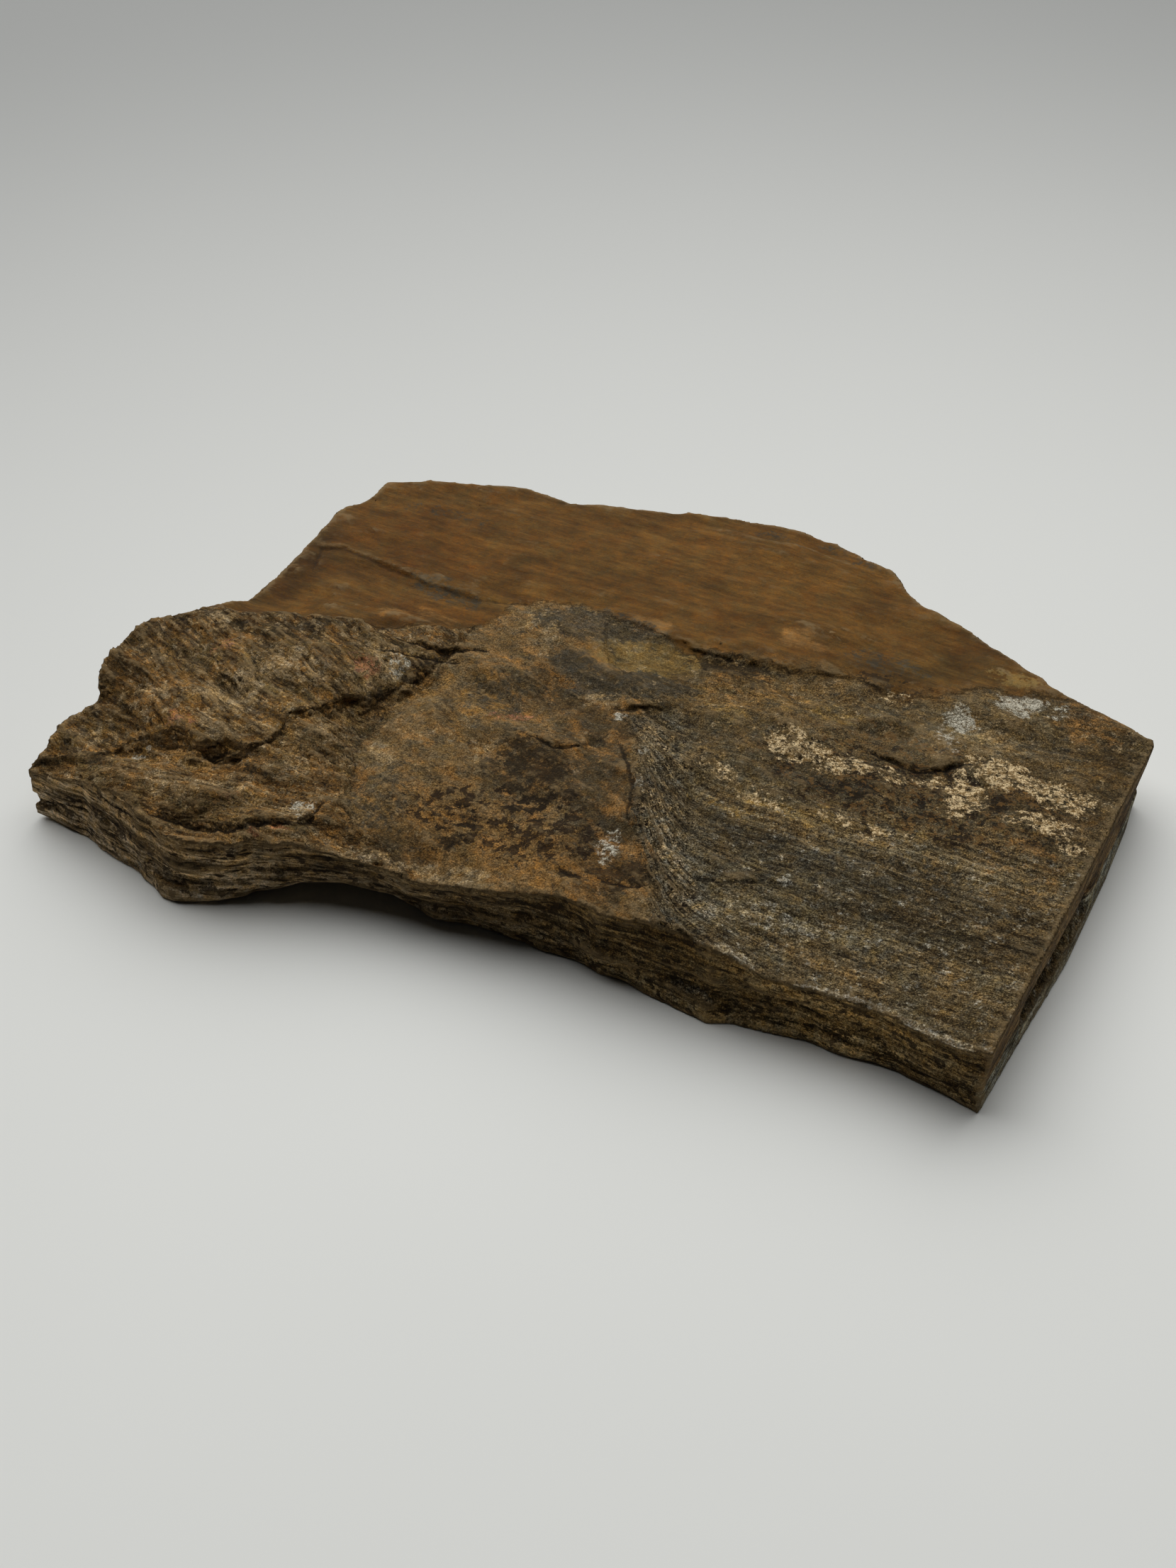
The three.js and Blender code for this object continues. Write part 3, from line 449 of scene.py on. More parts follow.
# ---- mesh helpers
def read_values(items, key, kind, width):
    """Values of every item of a mesh, as rows of the given width."""
    flat = np.empty(len(items) * width, kind)
    items.foreach_get(key, flat)
    return flat.reshape(-1, width)


def read_points(mesh):
    return read_values(mesh.vertices, "co", np.float32, 3).astype(float) / MM


def write_points(mesh, points):
    mesh.vertices.foreach_set("co", (points * MM).astype(np.float32).ravel())
    mesh.update()


def read_normals(mesh):
    return read_values(mesh.vertex_normals, "vector", np.float32, 3).astype(float)


def read_edges(mesh):
    return read_values(mesh.edges, "vertices", np.int32, 2)


def averaged(values, edges, rounds):
    """values spread over neighbouring points, in so many rounds."""
    count = np.bincount(edges.ravel(), minlength=len(values))[:, None]
    for _ in range(rounds):
        around = np.empty_like(values)
        for k in range(values.shape[1]):
            around[:, k] = (np.bincount(edges[:, 0], values[edges[:, 1], k], len(values))
                            + np.bincount(edges[:, 1], values[edges[:, 0], k], len(values)))
        values = (values + around) / (count + 1)
    return values


def linked(name, data):
    """An object that shows the data, in the scene."""
    made = bpy.data.objects.new(name, data)
    bpy.context.scene.collection.objects.link(made)
    return made


def apply_modifiers(piece):
    graph = bpy.context.evaluated_depsgraph_get()
    mesh = bpy.data.meshes.new_from_object(piece.evaluated_get(graph))
    piece.modifiers.clear()
    piece.data = mesh


def from_straights(x, y, path):
    """For each straight piece of a path, the distance to it in plan and its side, 1 or -1."""
    for (ax, ay), (bx, by) in zip(path, path[1:]):
        dx, dy = bx - ax, by - ay
        t = np.clip(((x - ax) * dx + (y - ay) * dy) / (dx * dx + dy * dy), 0, 1)
        px, py = x - ax - t * dx, y - ay - t * dy
        yield np.hypot(px, py), np.where(dx * py - dy * px < 0, -1, 1)


def line_distance(x, y, path):
    """Distance in plan to a path of straight pieces."""
    return np.minimum.reduce([distance for distance, _ in from_straights(x, y, path)])


def crack_distance(x, y):
    """Signed distance in plan to the nearest crack, and how deep that crack is."""
    best = np.full(len(x), NO_CRACK)
    depth_there = np.zeros(len(x))
    for path, _, depth in CRACKS:
        for distance, side in from_straights(x, y, path):
            nearer = distance < np.abs(best)
            best = np.where(nearer, distance * side, best)
            depth_there = np.where(nearer, depth, depth_there)
    return best, depth_there


def patch_weight(x, y, patch, edge):
    """1 inside an elliptical patch, falling to 0 outside it."""
    px, py, length, width, percent, *turn = patch
    a = math.radians(*(turn or [0]))
    c, s = math.cos(a), math.sin(a)
    u = ((x - px) * c + (y - py) * s) / length
    v = ((y - py) * c - (x - px) * s) / width
    return percent / 100 * ease(np.hypot(u, v), *edge)


def strongest(x, y, patches):
    """The greatest weight of any of the patches at each point."""
    return np.maximum.reduce([patch_weight(x, y, patch, CRISP_EDGE) for patch in patches])


# ---- fields of the top
def interpolated(line, at):
    xs, ys = zip(*line)
    return np.interp(at, xs, ys)


def blended(zone, amounts):
    """A trait at each point, from its amounts in the FIELDS."""
    return sum(amount * zone[name] for name, amount in zip(FIELDS, amounts))


def fields(x, y):
    """How far each point belongs to each field; the weights of a point add to 1."""
    soft = BACK_BLEND + RIGHT_BLEND * ease(x, *RIGHT_BLEND_AT)
    back = ease((y - interpolated(BACK_LINE, x)) / soft, -1, 1)
    mound = ease(y - interpolated(MOUND_LINE, x), -MOUND_BLEND, MOUND_BLEND) * (1 - back)
    rest = 1 - back - mound
    bowl = rest * ease(x - interpolated(VALLEY_LINE, y), VALLEY_BLEND, -VALLEY_BLEND)
    rest = rest - bowl
    along_ridge = x - interpolated(RIDGE_LINE, y)
    ridge = (rest * ease(along_ridge, *RIDGE_START)
             * ease(along_ridge, RIDGE_WIDTH + RIDGE_BLEND, RIDGE_WIDTH - RIDGE_BLEND)
             * ease(y, *RIDGE_HEAD))
    rest = rest - ridge
    right = rest * ease(along_ridge, *RIGHT_START)
    return {"back": back, "mound": mound, "bowl": bowl, "ridge": ridge, "right": right,
            "centre": rest - right}


def grain_position(x, y, z, zone):
    """Coordinates along the grain, across it and through the layers, in millimetres."""
    along, across = np.zeros_like(x), np.zeros_like(x)
    # the ridge has the grain of the right-hand field, which is the last one
    weights = np.stack([zone[name] for name in GRAIN] + [zone["ridge"]], 1)
    chosen = np.minimum(weights.argmax(1), len(GRAIN) - 1)
    for k, turn in enumerate(GRAIN.values()):
        a = math.radians(turn)
        mine = chosen == k
        along[mine] = (x * math.cos(a) + y * math.sin(a))[mine]
        across[mine] = (y * math.cos(a) - x * math.sin(a))[mine] + FIELD_SHIFT * k
    across += blended(zone, WAVE) * layer(np.stack([x, y, z], 1), "wave")
    beyond = np.maximum(x - interpolated(RIDGE_LINE, y), 0)
    swirl = (zone["ridge"] + zone["right"] > 0.5) & (y < SWIRL_BACK)
    across[swirl] -= (SWIRL_PUSH * np.exp(-beyond / SWIRL_REACH))[swirl]
    return np.stack([along, across, z], 1)


# ---- relief
def sawn_place(x, y):
    """Distance outside the sawn plane, and distance along it from its near corner."""
    (ax, ay), (bx, by) = SAWN_FACE
    length = math.hypot(bx - ax, by - ay)
    dx, dy = (bx - ax) / length, (by - ay) / length
    return (x - ax) * dy - (y - ay) * dx, (x - ax) * dx + (y - ay) * dy


def broken_core(run, z, heights):
    """How far each point of the sawn face lies where its core broke away."""
    foot, head = heights
    return ease(run, *CORE_START) * ease(run, *CORE_END) * ease(z, *foot) * ease(z, *head)


def crack_place(points, wander):
    """Where in plan each point looks for cracks, so that they waver and have rough edges."""
    small = points / CRACK_JITTER_SIZE
    jitter = np.stack([noise(small, SEED + step) for step in JITTER_STEPS], 1)
    return (points[:, :2] + CRACK_WAVER * wander + CRACK_JITTER * jitter).T


def top_relief(points, grain, zone, pane, grit):
    """Height of the upper face's ledges, flakes, chunks and seams."""
    rough = blended(zone, ROUGHNESS) * (1 - PANE_RELIEF * pane)
    broken = blended(zone, BROKEN)
    height = rough * (layer(grain, "broad") + layer(grain, "fine") + layer(grain, "ripples")
                      + TOP_GRIT * grit)
    some = ease(layer(points, "chunk places"), *CHUNK_PLACES)
    height += broken * (layer(grain, "flakes") + layer(grain, "ledges")
                        + some * (chunks(grain, BIG_CHUNKS) + chunks(grain, SMALL_CHUNKS)))
    seams = ease(np.abs(layer(grain, "seams")), SEAM_WIDTH, 0.0)
    seams *= ease(layer(points, "seam places"), *SEAM_PLACES)
    return height - (SEAM_DEPTH + BROKEN_SEAM_DEPTH * broken) * seams


def relief(points, normals):
    """Height to add along each point's normal, in millimetres."""
    x, y, z = points.T
    upward = normals[:, 2]
    wander = wandering(points, *WAVER_NOISE)
    wx, wy = x + FIELD_WAVER * wander[:, 0], y + FIELD_WAVER * wander[:, 1]
    zone = fields(wx, wy)
    grain = grain_position(wx, wy, z, zone)
    top = ease(upward, *TOP_SLOPE)
    under = ease(upward, *UNDER_SLOPE)
    side = 1 - top - under
    outside, run = sawn_place(x, y)
    sawn = ease(outside, *SAWN_REACH) * ease(upward, *SAWN_SLOPE) * (1 - under)
    grit = layer(points, "grit")

    height = top_relief(points, grain, zone, strongest(wx, wy, FLAT_PANES), grit)
    cx, cy = crack_place(points, wander)
    for path, width, depth in CRACKS:
        d = line_distance(cx, cy, path)
        height -= depth * np.exp(-(d / width) ** 2) * (CRACK_SHARE + CRACK_GRIT * grit)
    height *= top

    beds = layer(points, "beds") + layer(points, "thin beds") + layer(points, "knocks")
    height += side * (1 - sawn) * (beds + SIDE_GRIT_HEIGHT * grit)
    core = broken_core(run, z, CORE_RELIEF)
    height += sawn * (SAWN_GRIT * grit + core * (layer(points, "core") - CORE_DEPTH))
    height += under * layer(points, "underside")

    rim = ease(upward, *RIM_START) * ease(upward, *RIM_END) * (1 - sawn)
    chips = ease(layer(points, "chip places"), *CHIP_PLACES)
    return height - rim * chips * CHIP_DEPTH


# ---- paint
# The values that the material reads, three to an attribute of the mesh.
MASKS = {
    "stains": ("rust", "dark", "slate"),
    "tones": ("pale", "olive", "red"),
    "minerals": ("cream", "quartz", "spots"),
    "fabric": ("streak", "grit", "mixed"),
    "wear": ("cavity", "gloss", "lined"),
    "crack": ("crack", "crack_depth", "torn"),
}


def top_colour(points, wx, wy, zone, wander, drift):
    """Colour of the upper face, with patches of tone and of painted shade and light."""
    colour = sum(zone[name][:, None] * FIELD_COLOURS[name] for name in zone)
    turn = math.radians(GRAIN["right"])
    across = points[:, 1] * math.cos(turn) - points[:, 0] * math.sin(turn)
    across += BAND_DRIFT * drift + BAND_WAVER * wander[:, 0]
    band = interpolated(PLATE_BANDS, across)
    colour = colour * (1 + zone["right"] * (band - 1))[:, None]
    colour = colour * (1 + DRIFT_SHADE * drift)[:, None]
    colour = colour * (1 + layer(points, "warmth")[:, None] * WARMTH_PUSH)
    # the first patches are tone with painted shade and light, the second warmth
    for patches, push in ((PAINTED_SHADE_AND_TONE, PAINTED_SHADE_AND_TONE_PUSH), (WARMER, WARMER_PUSH)):
        share = sum(patch_weight(wx, wy, patch, SOFT_EDGE) for patch in patches)
        colour = colour * (1 + np.clip(share, *PUSH_LIMITS)[:, None] * push)
    return colour


def side_colour(x, z, normals, beds):
    """Colour of the broken sides, with painted light and shade along X and where they face back.
    """
    colour = SIDE_FOOT + (z / SIDE_HEIGHT)[:, None] * (SIDE_HEAD - SIDE_FOOT)
    # painted light and shade: brighter or darker along X, and one brightness where facing back
    lit = interpolated(SIDE_PAINTED_LIGHT, x)
    lit += (BACK_PAINTED_LIGHT - lit) * ease(normals[:, 1], *BACK_FACING)
    grey = interpolated(SIDE_GREY, x)[:, None] * SIDE_GREY_PUSH
    return colour * lit[:, None] * (1 + grey) * (1 + SIDE_BEDS * beds)[:, None]


def saw_colour(z, run, beds):
    """Colour of the sawn face."""
    colour = np.where((z < SAW_STAIN)[:, None], SAW_FOOT, SAW_HEAD)
    core = broken_core(run, z, CORE_PAINT)[:, None]
    colour = colour + core * (SAW_CORE_COLOUR - colour)
    return colour * (1 + SAW_BEDS * beds)[:, None]


def painted(points, normals, cavity):
    """Colour, masks of the material and grain coordinates of each point."""
    x, y, z = points.T
    wander = wandering(points, *PAINT_WAVER_NOISE)
    drift = layer(points, "drift")
    wx = x + PAINT_WAVER * wander[:, 0] + PAINT_DRIFT[0] * drift
    wy = y + PAINT_WAVER * wander[:, 1] + PAINT_DRIFT[1] * drift
    zone = fields(wx, wy)
    top = ease(normals[:, 2], *TOP_PAINT)
    rest = 1 - top
    outside, run = sawn_place(x, y)
    sawn = ease(outside, *SAWN_PAINT_REACH) * ease(normals[:, 2], *SAWN_PAINT)

    beds = layer(points, "side beds")
    colour = (top[:, None] * top_colour(points, wx, wy, zone, wander, drift)
              + rest[:, None] * side_colour(x, z, normals, beds))
    colour += sawn[:, None] * (saw_colour(z, run, beds) - colour)

    masks = {name: top * strongest(wx, wy, patches) for name, patches in STAINS.items()}
    for name, amounts in EVERYWHERE.items():
        masks[name] = np.maximum(masks[name], top * blended(zone, amounts))
    masks["cream"] = top * strongest(wx, wy, CREAM)
    masks["quartz"] = top * strongest(wx, wy, QUARTZ)
    masks["spots"] = top * strongest(wx, wy, SPOTTED) + SIDE_SPOTS * rest * (1 - sawn)

    front = zone["right"] * ease(y, *FRONT_PART)
    streak = blended(zone, STREAK) + FRONT_STREAK * front
    grit = blended(zone, GRIT) + FRONT_GRIT * front
    grit *= 1 - PANE_GRAIN * strongest(wx, wy, FINE_PANES)
    masks["streak"] = top * streak + rest * interpolated(SIDE_STREAK, x)
    masks["grit"] = top * grit + rest * interpolated(SIDE_GRIT, x)
    masks["torn"] = top * blended(zone, TORN) + rest * interpolated(SIDE_TORN, x)
    masks["mixed"] = top * np.maximum(strongest(wx, wy, CRUMBLED), blended(zone, MIXED))
    masks["lined"] = (top * zone["right"] * ease(y + LINED_SLANT * x, *LINED_EDGE)
                      + SIDE_LINES * rest)
    masks["cavity"] = cavity
    masks["gloss"] = np.maximum(BACK_GLOSS * zone["back"], masks["quartz"]) * top

    crack, depth = crack_distance(*crack_place(points, wandering(points, *WAVER_NOISE)))
    masks["crack"], masks["crack_depth"] = crack, depth * top
    side_grain = np.stack([points @ SIDE_ALONG, z, SIDE_INTO_SCALE * points @ SIDE_INTO], 1)
    grain = np.where((top > 0.5)[:, None], grain_position(x, y, z, zone), side_grain)
    return np.clip(colour, DARKEST, 1), masks, grain


def build_stone(node):
    """The stone as one closed mesh, cut from the CAD solid's own shape."""
    piece = linked("flagstone_surface", node.data.copy())
    bm = bmesh.new()
    bm.from_mesh(piece.data)
    bmesh.ops.remove_doubles(bm, verts=bm.verts, dist=WELD)
    bm.to_mesh(piece.data)
    bm.free()
    voxels = piece.modifiers.new("Voxels", "REMESH")
    voxels.mode = "VOXEL"
    voxels.voxel_size = VOXEL * MM
    apply_modifiers(piece)

    points = read_points(piece.data)
    edges = read_edges(piece.data)
    outside, _ = sawn_place(points[:, 0], points[:, 1])
    soft = averaged(points, edges, SMOOTHING)
    keep = ease(outside, *SAWN_KEEP)[:, None]
    soft = soft + keep * (averaged(points, edges, SAWN_SMOOTHING) - soft)
    write_points(piece.data, soft)
    normals = read_normals(piece.data)
    shaped = soft + normals * relief(soft, normals)[:, None]
    shaped[:, 2] = np.maximum(shaped[:, 2], 0)
    write_points(piece.data, shaped)

    triangles = sum(len(p.vertices) - 2 for p in piece.data.polygons)
    thin = piece.modifiers.new("Fewer faces", "DECIMATE")
    thin.ratio = FACE_LIMIT / triangles
    apply_modifiers(piece)
    return piece


def store(mesh, name, values):
    """Write one attribute of the mesh: a colour if it has four columns, else a vector."""
    kind, key = ("FLOAT_COLOR", "color") if values.shape[1] == 4 else ("FLOAT_VECTOR", "vector")
    attribute = mesh.attributes.new(name, kind, "POINT")
    attribute.data.foreach_set(key, values.astype(np.float32).ravel())


def paint(mesh):
    """Write all that the material reads onto the mesh."""
    points = read_points(mesh)
    edges = read_edges(mesh)
    normals = read_normals(mesh)
    hollow = np.zeros(len(points))
    for rounds, share in HOLLOW_SIZES:
        offset = averaged(points, edges, rounds) - points
        hollow += share * np.einsum("ij,ij->i", offset, normals) / math.sqrt(rounds)
    colour, masks, grain = painted(points, normals, hollow * HOLLOW_GAIN)
    store(mesh, "tint", np.column_stack([colour, np.ones(len(points))]))
    for attribute, names in MASKS.items():
        store(mesh, attribute, np.column_stack([masks[name] for name in names]))
    store(mesh, "grain_at", grain)
    mesh.polygons.foreach_set("use_smooth", np.ones(len(mesh.polygons), bool))
    mesh.update()


# ---- materials
# Noise of the material: the coordinates it lies on, its scale (along, across and
# through them where these differ), detail, roughness, offset, distortion.
NOISES = {
    "mottle": ("grain", (0.1, 0.17, 0.15), 6, 0.6),
    "patchwork": ("grain", (0.26, 0.34, 0.34), 6, 0.72, (11, 3, 6), 0.3),
    "bands": ("grain", (0.022, 0.24, 0.3), 5, 0.62, (7, 3, 5)),
    "threads": ("grain", (0.13, 0.8, 0.8), 5, 0.7, (9, 4, 2)),
    "hairs": ("grain", (0.018, 0.75, 0.8), 5, 0.72, (3, 1, 6)),
    "blots": ("place", 0.36, 5, 0.7, (5, 1, 8)),
    "blotches": ("place", (0.17, 0.2, 0.2), 5, 0.62, (8, 5, 3)),
    "crumbs": ("place", 0.62, 4, 0.75, (2, 6, 4)),
    "dust": ("place", 2.1, 2, 0.8, (4, 2, 7)),
    "pits": ("place", (1.1, 1.1, 1.2), 2, 0.7, (6, 2, 9)),
    "warmth": ("place", 0.3, 5, 0.72, (3, 8, 1)),
}
# Cells and warps; a warp has a scale and a reach in millimetres.
GRAIN_CELLS = 1.2
PLATE_WARP, PLATE_CELLS = (0.8, 1.2), 0.55
FLAKE_WARP, FLAKE_CELLS = (0.45, 3.0), (0.11, 0.32, 0.3)
GRAIN_WARP = ((0.22, 0.3, 0.3), 1.0)

# What makes the stone lighter and darker: pattern, mask that scales it, amount.
TONES = [("bands", "streak", 3.6), ("threads", "streak", 3.4), ("hairs", "lined", 5.5),
         ("crumbs", "grit", 4.2), ("plate_shade", "grit", 0.22), ("dust", "grit", 6.5),
         ("mottle", None, 1.8), ("flake_shade", "torn", 0.9)]
# How strongly red, green and blue follow the tone, and their soft limit.
TONE_BASES, TONE_LIMIT = (3.0, 3.2, 3.7), 0.25
# How red, green and blue follow the wandering warmth.
WARMTH_STEPS = (0.9, 0.15, -1.5)

# Coats on the stone: colour, strength and, where a pattern places them, the pattern, its
# reach, the softness of the edge, the share of the mask, and the mask if named otherwise.
Coat = namedtuple("Coat", "colour strength pattern reach soft share mask",
                  defaults=(None, None, None, 1, None))
COATS = {
    "olive": Coat(rgba(118, 95, 52), 0.8, "mottle", 3, 0.12),
    "rust": Coat(rgba(126, 90, 46), 0.75, "mottle", 3.4, 0.4),
    "slate": Coat(rgba(64, 57, 43), 0.85, "patchwork", 3, 0.25),
    "pale": Coat(rgba(152, 129, 92), 0.75, "blots", 3, 0.2),
    "red": Coat(rgba(156, 100, 72), 0.6, "crumbs", 2.4, 0.2),
    "mica": Coat(rgba(30, 21, 11), 0.7),
    "blots": Coat(rgba(34, 23, 13), 0.85, "spotted", 4, 0.08, 0.36, "spots"),
    "dark": Coat(rgba(34, 26, 15), 0.75, "spotted", 3.6, 0.12),
    "slits": Coat(rgba(24, 16, 8), 0.9),
    "black": Coat(rgba(34, 34, 30), 0.6, "crumbs", 4.5, 0.1, 0.4, "mixed"),
    "orange": Coat(rgba(128, 94, 50), 0.5, "crumbling", 4.5, 0.15, 0.2, "mixed"),
    "cream": Coat(rgba(132, 106, 66), 1, "crumbling", 4.2, 0.3, 0.62),
    "quartz": Coat(rgba(116, 110, 92), 0.8, "crumbling", 4, 0.4, 0.72),
    "cracks": Coat(rgba(20, 14, 8), 0.85),
    "hollow_dark": Coat(rgba(24, 17, 9), 0.36),
    "raised_pale": Coat(rgba(136, 114, 80), 0.5),
}
# The single grains shift the edges of all coats, and a coat comes in with its mask.
GRAIN_PICK, MASK_START = 0.3, (0.02, 0.12)
# The other colours of the coats that have two, and where in their tone they lie.
PALE_LINED = rgba(142, 132, 110)
CREAM_BRIGHT = rgba(232, 206, 160)
QUARTZ_BRIGHT = rgba(222, 216, 196)
CREAM_TONE, QUARTZ_TONE = (0.05, 0.8), (0.25, 0.75)
# Where others start and where they are full.
MICA_EDGE, SLIT_EDGE = (0.6, 0.68), (0.455, 0.4)
CREAM_SPECK_EDGE, CREAM_SPECK_STRENGTH = (0.455, 0.4), 0.65
CRACK_EDGE, CRACK_DEPTHS = (0.75, 0.2), (0.2, 0.9)
HOLLOW_DARK_EDGE, RAISED_PALE_EDGE = (0.2, 1.2), (-0.15, -0.9)
# Two levels of dust, and the roughness at each.
DUST_ROUGHNESS, GLOSS_PUSH = (0.1, 0.8, 0.55, 0.95), -0.35
# Heights of the two bumps in metres, and how much light the surfaces throw back.
COARSE_BUMP, FINE_BUMP = 0.0008, 0.0006
STONE_SPECULAR, FLOOR_SPECULAR = 0.06, 0.2
FLOOR_COLOURS = rgba(219, 220, 216), rgba(224, 225, 221)
# The colour of the floor's painted shade, far from the middle.
FLOOR_PAINTED_SHADE = rgba(140, 141, 139)
FLOOR_NOISE, FLOOR_ROUGHNESS = (3, 3, 0.55), 0.6
# Painted shade: the floor is painted darker with its distance from a point right of the middle.
FLOOR_SHADE_FADE, FLOOR_MIDDLE = (0.15, 1.05), (-0.1, 0.25, 0)


def calculation(operation, swapped=False):
    """A method of Value that adds one math node."""
    def method(self, other=0.0):
        pair = (other, self) if swapped else (self, other)
        return self.graph.value("Math", dict(enumerate(pair)), operation=operation)
    return method


class Value:
    """An output of a shader node, for sums and products."""

    def __init__(self, graph, socket):
        self.graph, self.socket = graph, socket

    __add__ = calculation("ADD")
    __sub__ = calculation("SUBTRACT")
    __rsub__ = calculation("SUBTRACT", swapped=True)
    __mul__ = calculation("MULTIPLY")
    __truediv__ = calculation("DIVIDE")
    __rpow__ = calculation("POWER", swapped=True)
    __abs__ = calculation("ABSOLUTE")


class Graph:
    """Adds shader nodes to a material and joins them."""

    def __init__(self, name):
        self.material = bpy.data.materials.new(name)
        self.material.use_nodes = True
        self.tree = self.material.node_tree
        self.tree.nodes.clear()

    def node(self, kind, inputs=None, **settings):
        """A new shader node; inputs that are None stay as they are."""
        made = self.tree.nodes.new("ShaderNode" + kind)
        for key, value in settings.items():
            setattr(made, key, value)
        for key, value in (inputs or {}).items():
            if isinstance(value, Value):
                self.tree.links.new(value.socket, made.inputs[key])
            elif value is not None:
                made.inputs[key].default_value = value
        return made

    def value(self, kind, inputs=None, output=0, **settings):
        return Value(self, self.node(kind, inputs, **settings).outputs[output])

    def attribute(self, name, output="Vector"):
        return self.value("Attribute", None, output, attribute_name=name)

    def object_place(self):
        return self.value("TexCoord", None, "Object")

    def split(self, vector):
        made = self.node("SeparateXYZ", {0: vector})
        return [Value(self, output) for output in made.outputs]

    def combined(self, *parts):
        return self.value("CombineXYZ", dict(enumerate(parts)))

    def ease(self, *value_and_limits):
        """A value and two limits, eased to 0 and 1 or to two more numbers."""
        return self.value("MapRange", dict(enumerate(value_and_limits)),
                          interpolation_type="SMOOTHSTEP")

    def mix(self, factor, a, b, mode="MIX"):
        # inputs 6 and 7 and output 2 are for colours
        return self.value("Mix", {0: factor, 6: a, 7: b}, 2, data_type="RGBA",
                          blend_type=mode)

    def scaled(self, vector, scale, offset=(0, 0, 0)):
        """The vector scaled, by one number or by one for each axis, and moved."""
        scale = tuple(np.broadcast_to(scale, 3).tolist())
        return self.value("Mapping",
                          {"Vector": vector, "Scale": scale, "Location": offset})

    def noise(self, vector, scale, detail, roughness, offset=(0, 0, 0), distortion=0.0):
        return self.value("TexNoise", {
            "Vector": self.scaled(vector, scale, offset), "Scale": 1, "Detail": detail,
            "Roughness": roughness, "Distortion": distortion}, "Fac")

    def cells(self, vector, scale):
        """Distance to the middle of the nearest cell, and two random numbers of that cell."""
        made = self.node("TexVoronoi",
                         {"Vector": self.scaled(vector, scale), "Scale": 1})
        first, second, _ = self.split(Value(self, made.outputs["Color"]))
        return Value(self, made.outputs["Distance"]), first, second

    def warped(self, vector, scale, reach):
        """The vector pushed about by noise, by up to half of reach."""
        pattern = self.value("TexNoise",
                             {"Vector": self.scaled(vector, scale), "Scale": 1}, "Color")
        push = self.value("VectorMath", {0: pattern, 1: (0.5, 0.5, 0.5)},
                          operation="SUBTRACT")
        return self.value("VectorMath", {0: push, 1: (reach, reach, reach), 2: vector},
                          operation="MULTIPLY_ADD")

    def bump(self, height, distance, normal=None):
        return self.value("Bump",
                          {"Distance": distance, "Height": height, "Normal": normal})

    def finish(self, colour, roughness, specular, normal=None):
        shader = self.value("BsdfPrincipled", {
            "Base Color": colour, "Roughness": roughness, "Specular IOR Level": specular,
            "Normal": normal})
        self.node("OutputMaterial", {0: shader})
        return self.material


def centred(value, amount):
    """A pattern moved to lie around 0, times amount."""
    return (value - 0.5) * amount


def stone_patterns(g):
    """The masks painted on the mesh and the patterns of the material, by name."""
    s = SimpleNamespace()
    for attribute, names in MASKS.items():
        vars(s).update(zip(names, g.split(g.attribute(attribute))))
    place = g.scaled(g.object_place(), 1 / MM)
    grain = g.warped(g.attribute("grain_at"), *GRAIN_WARP)
    for name, (space, *settings) in NOISES.items():
        setattr(s, name, g.noise(grain if space == "grain" else place, *settings))
    s.grain_edge, s.grain_shade, s.grain_pick = g.cells(place, GRAIN_CELLS)
    _, s.plate_shade, s.plate_height = g.cells(g.warped(place, *PLATE_WARP), PLATE_CELLS)
    _, s.flake_shade, s.flake_height = g.cells(g.warped(grain, *FLAKE_WARP), FLAKE_CELLS)
    s.crumbling = s.patchwork + centred(s.crumbs, 0.8)
    s.spotted = s.blotches + centred(s.blots, 1.0)
    s.blot_share = covered(g, s, "blots")
    return s


def covered(g, s, name):
    """Share covered by a coat: its mask gives how much, its pattern and the grains where."""
    coat = COATS[name]
    mask = getattr(s, coat.mask or name)
    if coat.share != 1:
        mask = mask * coat.share
    level = (mask + centred(getattr(s, coat.pattern), coat.reach)
             + centred(s.grain_pick, GRAIN_PICK))
    return g.ease(level, 0.5 - coat.soft, 0.5 + coat.soft) * g.ease(mask, *MASK_START)


def coated(g, colour, name, share, coat_colour=None):
    """The colour with one of the COATS over it."""
    coat = COATS[name]
    if coat.strength != 1:
        share = share * coat.strength
    return g.mix(share, colour, coat_colour or coat.colour)


def stained(g, s, colour):
    """Stains, in large soft patches; the pale ones are greyer where the stone is lined."""
    own = {"pale": g.mix(g.ease(s.lined, 0.0, 1.0), COATS["pale"].colour, PALE_LINED)}
    for name in ("olive", "rust", "slate", "pale", "red"):
        colour = coated(g, colour, name, covered(g, s, name), own.get(name))
    return colour


def toned(g, s, colour):
    """Warm and cool from grain to grain, then light and dark by the patterns in TONES."""
    push = [centred(s.warmth, step) + 1.0 for step in WARMTH_STEPS]
    colour = g.mix(1.0, colour, g.combined(*push), "MULTIPLY")
    first, *others = [centred(getattr(s, pattern), getattr(s, mask) * amount if mask else amount)
                      for pattern, mask, amount in TONES]
    tone = sum(others, first)
    gains = [base ** tone for base in TONE_BASES]
    limited = [gain * (1 + TONE_LIMIT) / (gain * TONE_LIMIT + 1.0) for gain in gains]
    return g.mix(1.0, colour, g.combined(*limited), "MULTIPLY")


def darkened(g, s, colour):
    """Dark mica flakes in swarms, iron blots, dark stains with one painted shadow among them,
    and slits of torn ground.
    """
    swarm = centred(s.blots, 1.2) + centred(s.bands, s.streak * 1.5)
    pitted = s.pits + swarm * 0.35 + s.spots * 0.1
    colour = coated(g, colour, "mica", g.ease(pitted, *MICA_EDGE) * s.grit)
    colour = coated(g, colour, "blots", s.blot_share)
    colour = coated(g, colour, "dark", covered(g, s, "dark"))
    return coated(g, colour, "slits", g.ease(s.threads, *SLIT_EDGE) * s.torn)


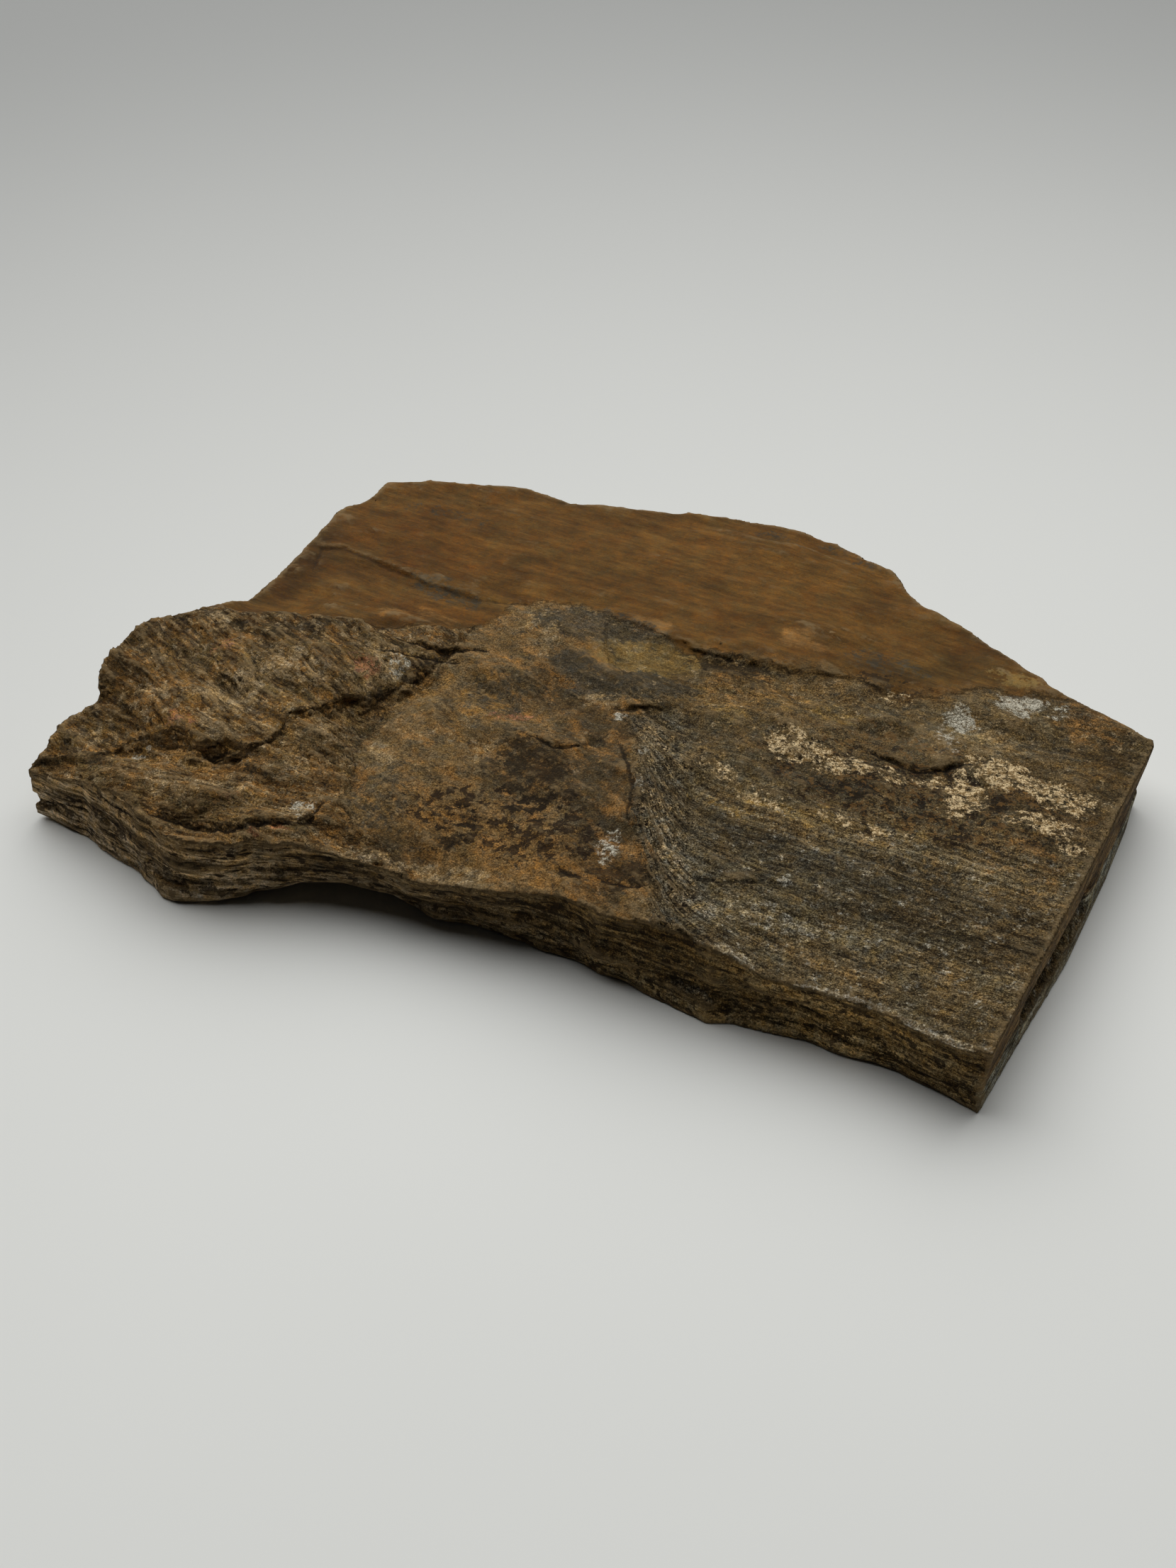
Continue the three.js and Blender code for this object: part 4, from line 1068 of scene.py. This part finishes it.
def with_minerals(g, s, colour):
    """Black and orange crumbs, feldspar in crumbs and quartz in clear bodies."""
    for name in ("black", "orange"):
        colour = coated(g, colour, name, covered(g, s, name))

    specks = g.ease(s.dust + centred(s.crumbs, 0.7), *CREAM_SPECK_EDGE)
    share = covered(g, s, "cream") * (1.0 - specks * CREAM_SPECK_STRENGTH)
    tone = s.grain_shade * 0.75 + centred(s.dust, 3.0) + centred(s.blots, 2.0)
    cream = g.mix(g.ease(tone, *CREAM_TONE), COATS["cream"].colour, CREAM_BRIGHT)
    colour = coated(g, colour, "cream", share, cream)

    tone = s.mottle + centred(s.dust, 2.5)
    quartz = g.mix(g.ease(tone, *QUARTZ_TONE), COATS["quartz"].colour, QUARTZ_BRIGHT)
    return coated(g, colour, "quartz", covered(g, s, "quartz"), quartz)


def weathered(g, s, colour):
    """Open cracks, darker hollows and paler raised edges."""
    away = abs(s.crack + centred(s.crumbs, 2.0))
    shares = {
        "cracks": g.ease(away, *CRACK_EDGE) * g.ease(s.crack_depth, *CRACK_DEPTHS),
        # darker where the mesh is hollow
        "hollow_dark": g.ease(s.cavity + centred(s.blots, 0.6), *HOLLOW_DARK_EDGE),
        # paler where the mesh is raised
        "raised_pale": g.ease(s.cavity + centred(s.crumbs, 1.0), *RAISED_PALE_EDGE),
    }
    for name, share in shares.items():
        colour = coated(g, colour, name, share)
    return colour


def stone_material():
    g = Graph("weathered_schist")
    s = stone_patterns(g)
    colour = g.attribute("tint", "Color")
    for step in (stained, toned, darkened, with_minerals, weathered):
        colour = step(g, s, colour)

    coarse = (s.bands * 0.4 + s.threads * 0.7) * s.streak + s.flake_height * (s.torn * 0.8)
    fine = (s.crumbs * 0.9 + s.dust * 0.35 - s.grain_edge * 0.4 - s.blot_share * 0.25
            + s.plate_height * 0.2) * s.grit
    normal = g.bump(fine, FINE_BUMP, g.bump(coarse, COARSE_BUMP))
    roughness = g.ease(s.dust + s.gloss * GLOSS_PUSH, *DUST_ROUGHNESS)
    return g.finish(colour, roughness, STONE_SPECULAR, normal)


def floor_material():
    g = Graph("pale_table")
    place = g.object_place()
    colour = g.mix(g.noise(place, *FLOOR_NOISE), *FLOOR_COLOURS)
    far = g.value("VectorMath", {0: g.scaled(place, 1, FLOOR_MIDDLE)}, "Value",
                  operation="LENGTH")
    # painted shade: darker with distance from a point right of the middle
    colour = g.mix(g.ease(far, *FLOOR_SHADE_FADE), colour, FLOOR_PAINTED_SHADE)
    return g.finish(colour, FLOOR_ROUGHNESS, FLOOR_SPECULAR)


# ---- the scene
def add_area_light(name, at, aim, size, power):
    light = bpy.data.lights.new(name, "AREA")
    light.shape = "DISK"
    light.size = size
    light.energy = power
    lamp = linked(name, light)
    lamp.location = at
    dx, dy, dz = np.subtract(aim, at)
    lamp.rotation_euler = (math.atan2(math.hypot(dx, dy), -dz), 0, math.atan2(-dx, dy))


def add_floor():
    mesh = bpy.data.meshes.new("floor")
    corners = [(-1, -1), (1, -1), (1, 1), (-1, 1)]
    mesh.from_pydata([(x * FLOOR_REACH, y * FLOOR_REACH, 0) for x, y in corners],
                     [], [(0, 1, 2, 3)])
    mesh.materials.append(floor_material())
    floor = linked("floor", mesh)


def add_camera():
    camera = bpy.data.cameras.new("camera")
    camera.lens = CAMERA_LENS
    camera.sensor_width = CAMERA_SENSOR
    holder = linked("camera", camera)
    holder.location = CAMERA_AT
    holder.rotation_euler = (math.radians(90 - CAMERA_PITCH), 0, 0)
    bpy.context.scene.camera = holder


def add_world():
    world = bpy.data.worlds.new("studio")
    world.use_nodes = True
    background = world.node_tree.nodes["Background"]
    background.inputs["Color"].default_value = (1, 1, 1, 1)
    background.inputs["Strength"].default_value = WORLD_STRENGTH
    bpy.context.scene.world = world


bpy.context.scene.view_settings.view_transform = "Standard"
add_world()
add_camera()
add_floor()
add_area_light("overhead", at=(-0.15, 1.15, 1.85), aim=(0, 0.02, 0), size=4.2, power=98)

stone = build_stone(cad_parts["flagstone"])
paint(stone.data)
stone.data.materials.clear()
stone.data.materials.append(stone_material())
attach(stone, "root")
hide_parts("flagstone")
